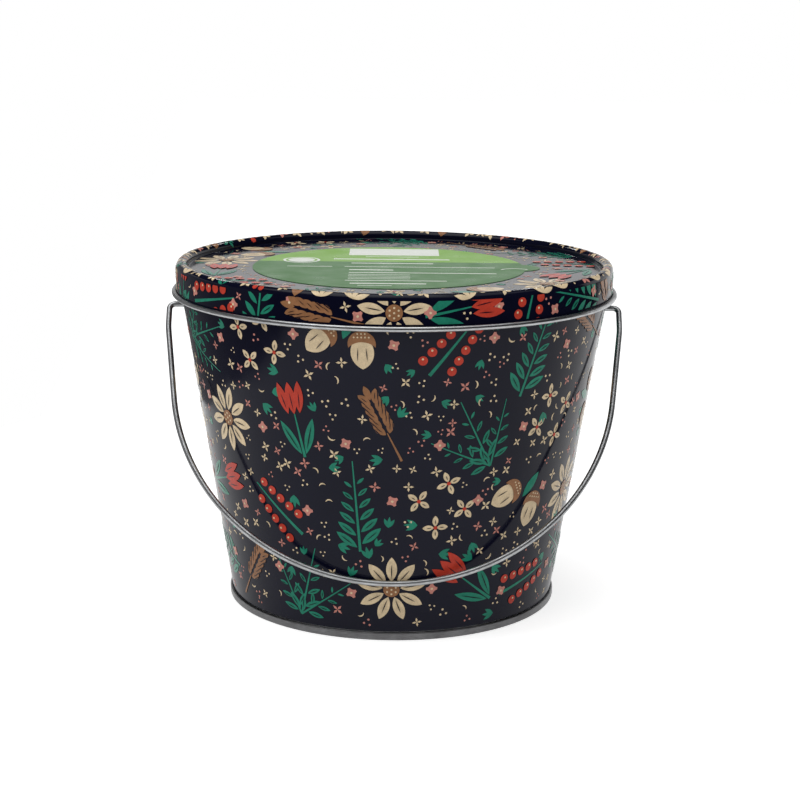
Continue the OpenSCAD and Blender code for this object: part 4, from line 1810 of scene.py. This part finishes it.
def arc(centre: Point, radius: float, start: float, end: float, step: float) -> list[Point]:
    """Gives the points of an arc.

    Args:
        centre: Its centre.
        radius: Its radius.
        start: Angle of the first point, in degrees.
        end: Angle of the last point, in degrees.
        step: Largest angle between two points, in degrees.

    Returns:
        The points in order.
    """
    steps = max(1, math.ceil(abs(end - start) / step))
    angles = [math.radians(start + (end - start) * i / steps) for i in range(steps + 1)]
    return [(centre[0] + radius * math.cos(a), centre[1] + radius * math.sin(a)) for a in angles]


@dataclass
class Candle:
    """The poured wax with its three wicks and their sustainers."""

    finishes: Finishes
    wicks: int = 3

    def build(self) -> None:
        """Dresses the candle's pieces."""
        keep_node("wax", self.finishes.wax)
        for n in range(1, self.wicks + 1):
            keep_node(f"wick_{n}", self.finishes.cotton)
            keep_node(f"wick_sustainer_{n}", self.finishes.edge_tin)


@dataclass
class Studio:
    """The camera, the pale table and the soft light of a small product studio.

    A band has its start and end in degrees, and its lower and upper edge. The screen has half its width, its
    distance and its two edges. A mirrored lamp has its bearing from the back and its climb, in degrees, and a
    lamp has its name, its place, its side and its watts.
    """

    camera_place: Place = (0, -762.6 * MM, 250.6 * MM)
    pitch: float = 12.66
    roll: float = 0.010
    focal_px: float = 1920.7
    frame_px: float = 800
    centre_px: float = 393.3
    sensor: float = 36.0
    table_z: float = -0.02 * MM
    table_corners: tuple[Point, ...] = ((-0.36, -0.45), (0.4, -0.45), (1.6, 3.0), (-0.4, 3.0), (-0.2, 0.3),
                                        (-0.36, 0.05))
    table_seen: float = 0.6
    table_mirrored: float = 0.42
    world_lit: float = 0.62
    world_seen: float = 1.0
    room_r: float = 1.3
    dark_bands: tuple[Band, ...] = ((-185, 22, -1.0, 1.5), (-90, 270, -1.0, -0.01), (22, 175, 0.52, 2.2))
    dark: Colour = (0.02, 0.02, 0.022)
    dim_band: Band = (112, 205, -0.9, 0.45)
    dim_level: float = 0.2
    screen: Band = (2.2, 1.6, 0.24, 0.62)
    screen_level: float = 0.8
    lamps_seen: tuple[Point, ...] = ((15, 38), (-25, 38))
    lamp_seen_w: float = 0.07
    lamp_seen_level: float = 30.0
    lamps: tuple[tuple[str, Place, float, float], ...] = (
        ("top_light", (-0.3, -0.1, 1.6), 1.4, 9.0), ("left_light", (-1.5, -0.8, 1.0), 1.5, 6.0))
    aim: Place = (0, 0, 0.07)

    def build_camera(self) -> None:
        """Makes the camera that took the picture's view."""
        data = bpy.data.cameras.new("camera")
        data.sensor_width = self.sensor
        data.lens = self.sensor * self.focal_px / self.frame_px
        data.shift_x = (self.frame_px / 2 - self.centre_px) / self.frame_px
        data.clip_start = 0.01
        camera = placed("camera", data)
        turn = Matrix.Rotation(math.radians(90 - self.pitch), 4, "X") @ Matrix.Rotation(self.roll, 4, "Z")
        camera.matrix_world = Matrix.Translation(self.camera_place) @ turn
        bpy.context.scene.camera = camera

    def build_stage(self) -> None:
        """Makes the table, the surroundings, the lights and what the tin mirrors."""
        bpy.context.scene.view_settings.view_transform = "Standard"
        self.build_table()
        self.build_world()
        self.only_mirrored(self.bands("dark_end", self.room_r, self.dark_bands), 0.0, self.dark)
        half, far, low, high = self.screen
        corners = [(-half, far, low), (half, far, low), (half, far, high), (-half, far, high)]
        self.only_mirrored(plain_mesh("grey_screen", corners, [], [(0, 1, 2, 3)]), self.screen_level)
        self.only_mirrored(self.bands("dim_side", 0.95 * self.room_r, (self.dim_band,)), self.dim_level)
        for turn, climb in self.lamps_seen:
            self.build_lamp_seen(math.radians(turn), math.radians(climb))
        for lamp in self.lamps:
            self.lamp(*lamp)

    def build_table(self) -> None:
        """Makes the white table, which keeps the object's shadow and ends a little way in front of it."""
        corners = [(x, y, self.table_z) for x, y in self.table_corners]
        floor = placed("floor", plain_mesh("floor", corners, [], [tuple(range(len(corners)))]))
        made = Shades("floor_white")
        rays = made.node("ShaderNodeLightPath").outputs
        camera = made.maths("MULTIPLY", rays["Is Camera Ray"], self.table_seen)
        mirrored = made.maths("MULTIPLY", rays["Is Glossy Ray"], self.table_mirrored)
        made.set(Roughness=0.9, Specular_IOR_Level=0.0, Base_Color=(0.8, 0.8, 0.8),
                 Emission_Color=(1.0, 1.0, 1.0), Emission_Strength=made.maths("ADD", camera, mirrored))
        paint_over(floor, made.material)

    def build_world(self) -> None:
        """Makes surroundings that look white, and light the object at a plain level."""
        world = bpy.data.worlds.new("surroundings")
        world.use_nodes = True
        bpy.context.scene.world = world
        tree = Tree(world.node_tree)
        rays = tree.node("ShaderNodeLightPath").outputs
        seen = tree.maths("MAXIMUM", rays["Is Camera Ray"], rays["Is Glossy Ray"])
        seen = tree.maths("MAXIMUM", seen, rays["Is Transmission Ray"])
        level = tree.out("ShaderNodeMapRange", Value=seen, To_Min=self.world_lit, To_Max=self.world_seen)
        shade = world.node_tree.nodes["Background"]
        tree.feed(shade.inputs["Color"], (1, 1, 1))
        tree.feed(shade.inputs["Strength"], level)

    def bands(self, name: str, radius: float, spans: tuple[Band, ...]) -> bpy.types.Mesh:
        """Makes upright bands round the axis.

        Args:
            name: The mesh's name.
            radius: Their radius.
            spans: The bands.

        Returns:
            The mesh.
        """
        places: list[Place] = []
        faces: list[tuple[int, ...]] = []
        for start, end, low, high in spans:
            first = len(places)
            places += [(x, y, z) for x, y in arc((0, 0), radius, start, end, 6) for z in (low, high)]
            faces += [(i, i + 1, i + 3, i + 2) for i in range(first, len(places) - 2, 2)]
        return plain_mesh(name, places, [], faces)

    def build_lamp_seen(self, turn: float, climb: float) -> None:
        """Makes a small bright lamp over the back of the room, which only reflections show.

        Args:
            turn: Its bearing from the back, clockwise seen from above, in radians.
            climb: Its height over the table, in radians.
        """
        out = Vector((math.sin(turn) * math.cos(climb), math.cos(turn) * math.cos(climb), math.sin(climb)))
        side = Vector((math.cos(turn), -math.sin(turn), 0)) * self.lamp_seen_w / 2
        up = side.cross(out)
        middle = out * 0.9 * self.room_r
        corners = [tuple(middle + a * side + b * up) for a, b in ((-1, -1), (1, -1), (1, 1), (-1, 1))]
        self.only_mirrored(plain_mesh("small_lamp", corners, [], [(0, 1, 2, 3)]), self.lamp_seen_level)

    def only_mirrored(self, data: bpy.types.Mesh, level: float, colour: Colour = (0.0, 0.0, 0.0)) -> None:
        """Adds a sheet that only reflections show.

        Args:
            data: The sheet's mesh.
            level: Its own level of light.
            colour: Its colour.
        """
        sheet = placed(data.name, data)
        made = Shades(data.name)
        made.set(Base_Color=colour, Roughness=1.0, Specular_IOR_Level=0.0,
                 Emission_Color=(1.0, 1.0, 1.0), Emission_Strength=level)
        paint_over(sheet, made.material)
        sheet.visible_camera = False
        sheet.visible_diffuse = False
        sheet.visible_shadow = False

    def lamp(self, name: str, place: Place, size: float, power: float) -> None:
        """Adds a soft square lamp that faces the object.

        Args:
            name: The lamp's name.
            place: Where it hangs.
            size: Its side.
            power: Its power in watts.
        """
        data = bpy.data.lights.new(name, "AREA")
        data.shape = "SQUARE"
        data.size = size
        data.energy = power
        lamp = placed(name, data)
        lamp.location = place
        lamp.rotation_euler = (Vector(self.aim) - Vector(place)).to_track_quat("-Z", "Y").to_euler()


def main() -> None:
    """Builds the studio and the object, in order."""
    logging.basicConfig(level=logging.INFO, format="%(name)s: %(message)s")
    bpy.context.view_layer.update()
    studio = Studio()
    studio.build_camera()
    tin = TinWork()
    finishes = Finishes()
    Bucket(tin, finishes).build()
    Lid(tin, finishes).build()
    Bail(tin, finishes).build()
    Candle(finishes).build()
    studio.build_stage()


if __name__ == "__main__":
    main()
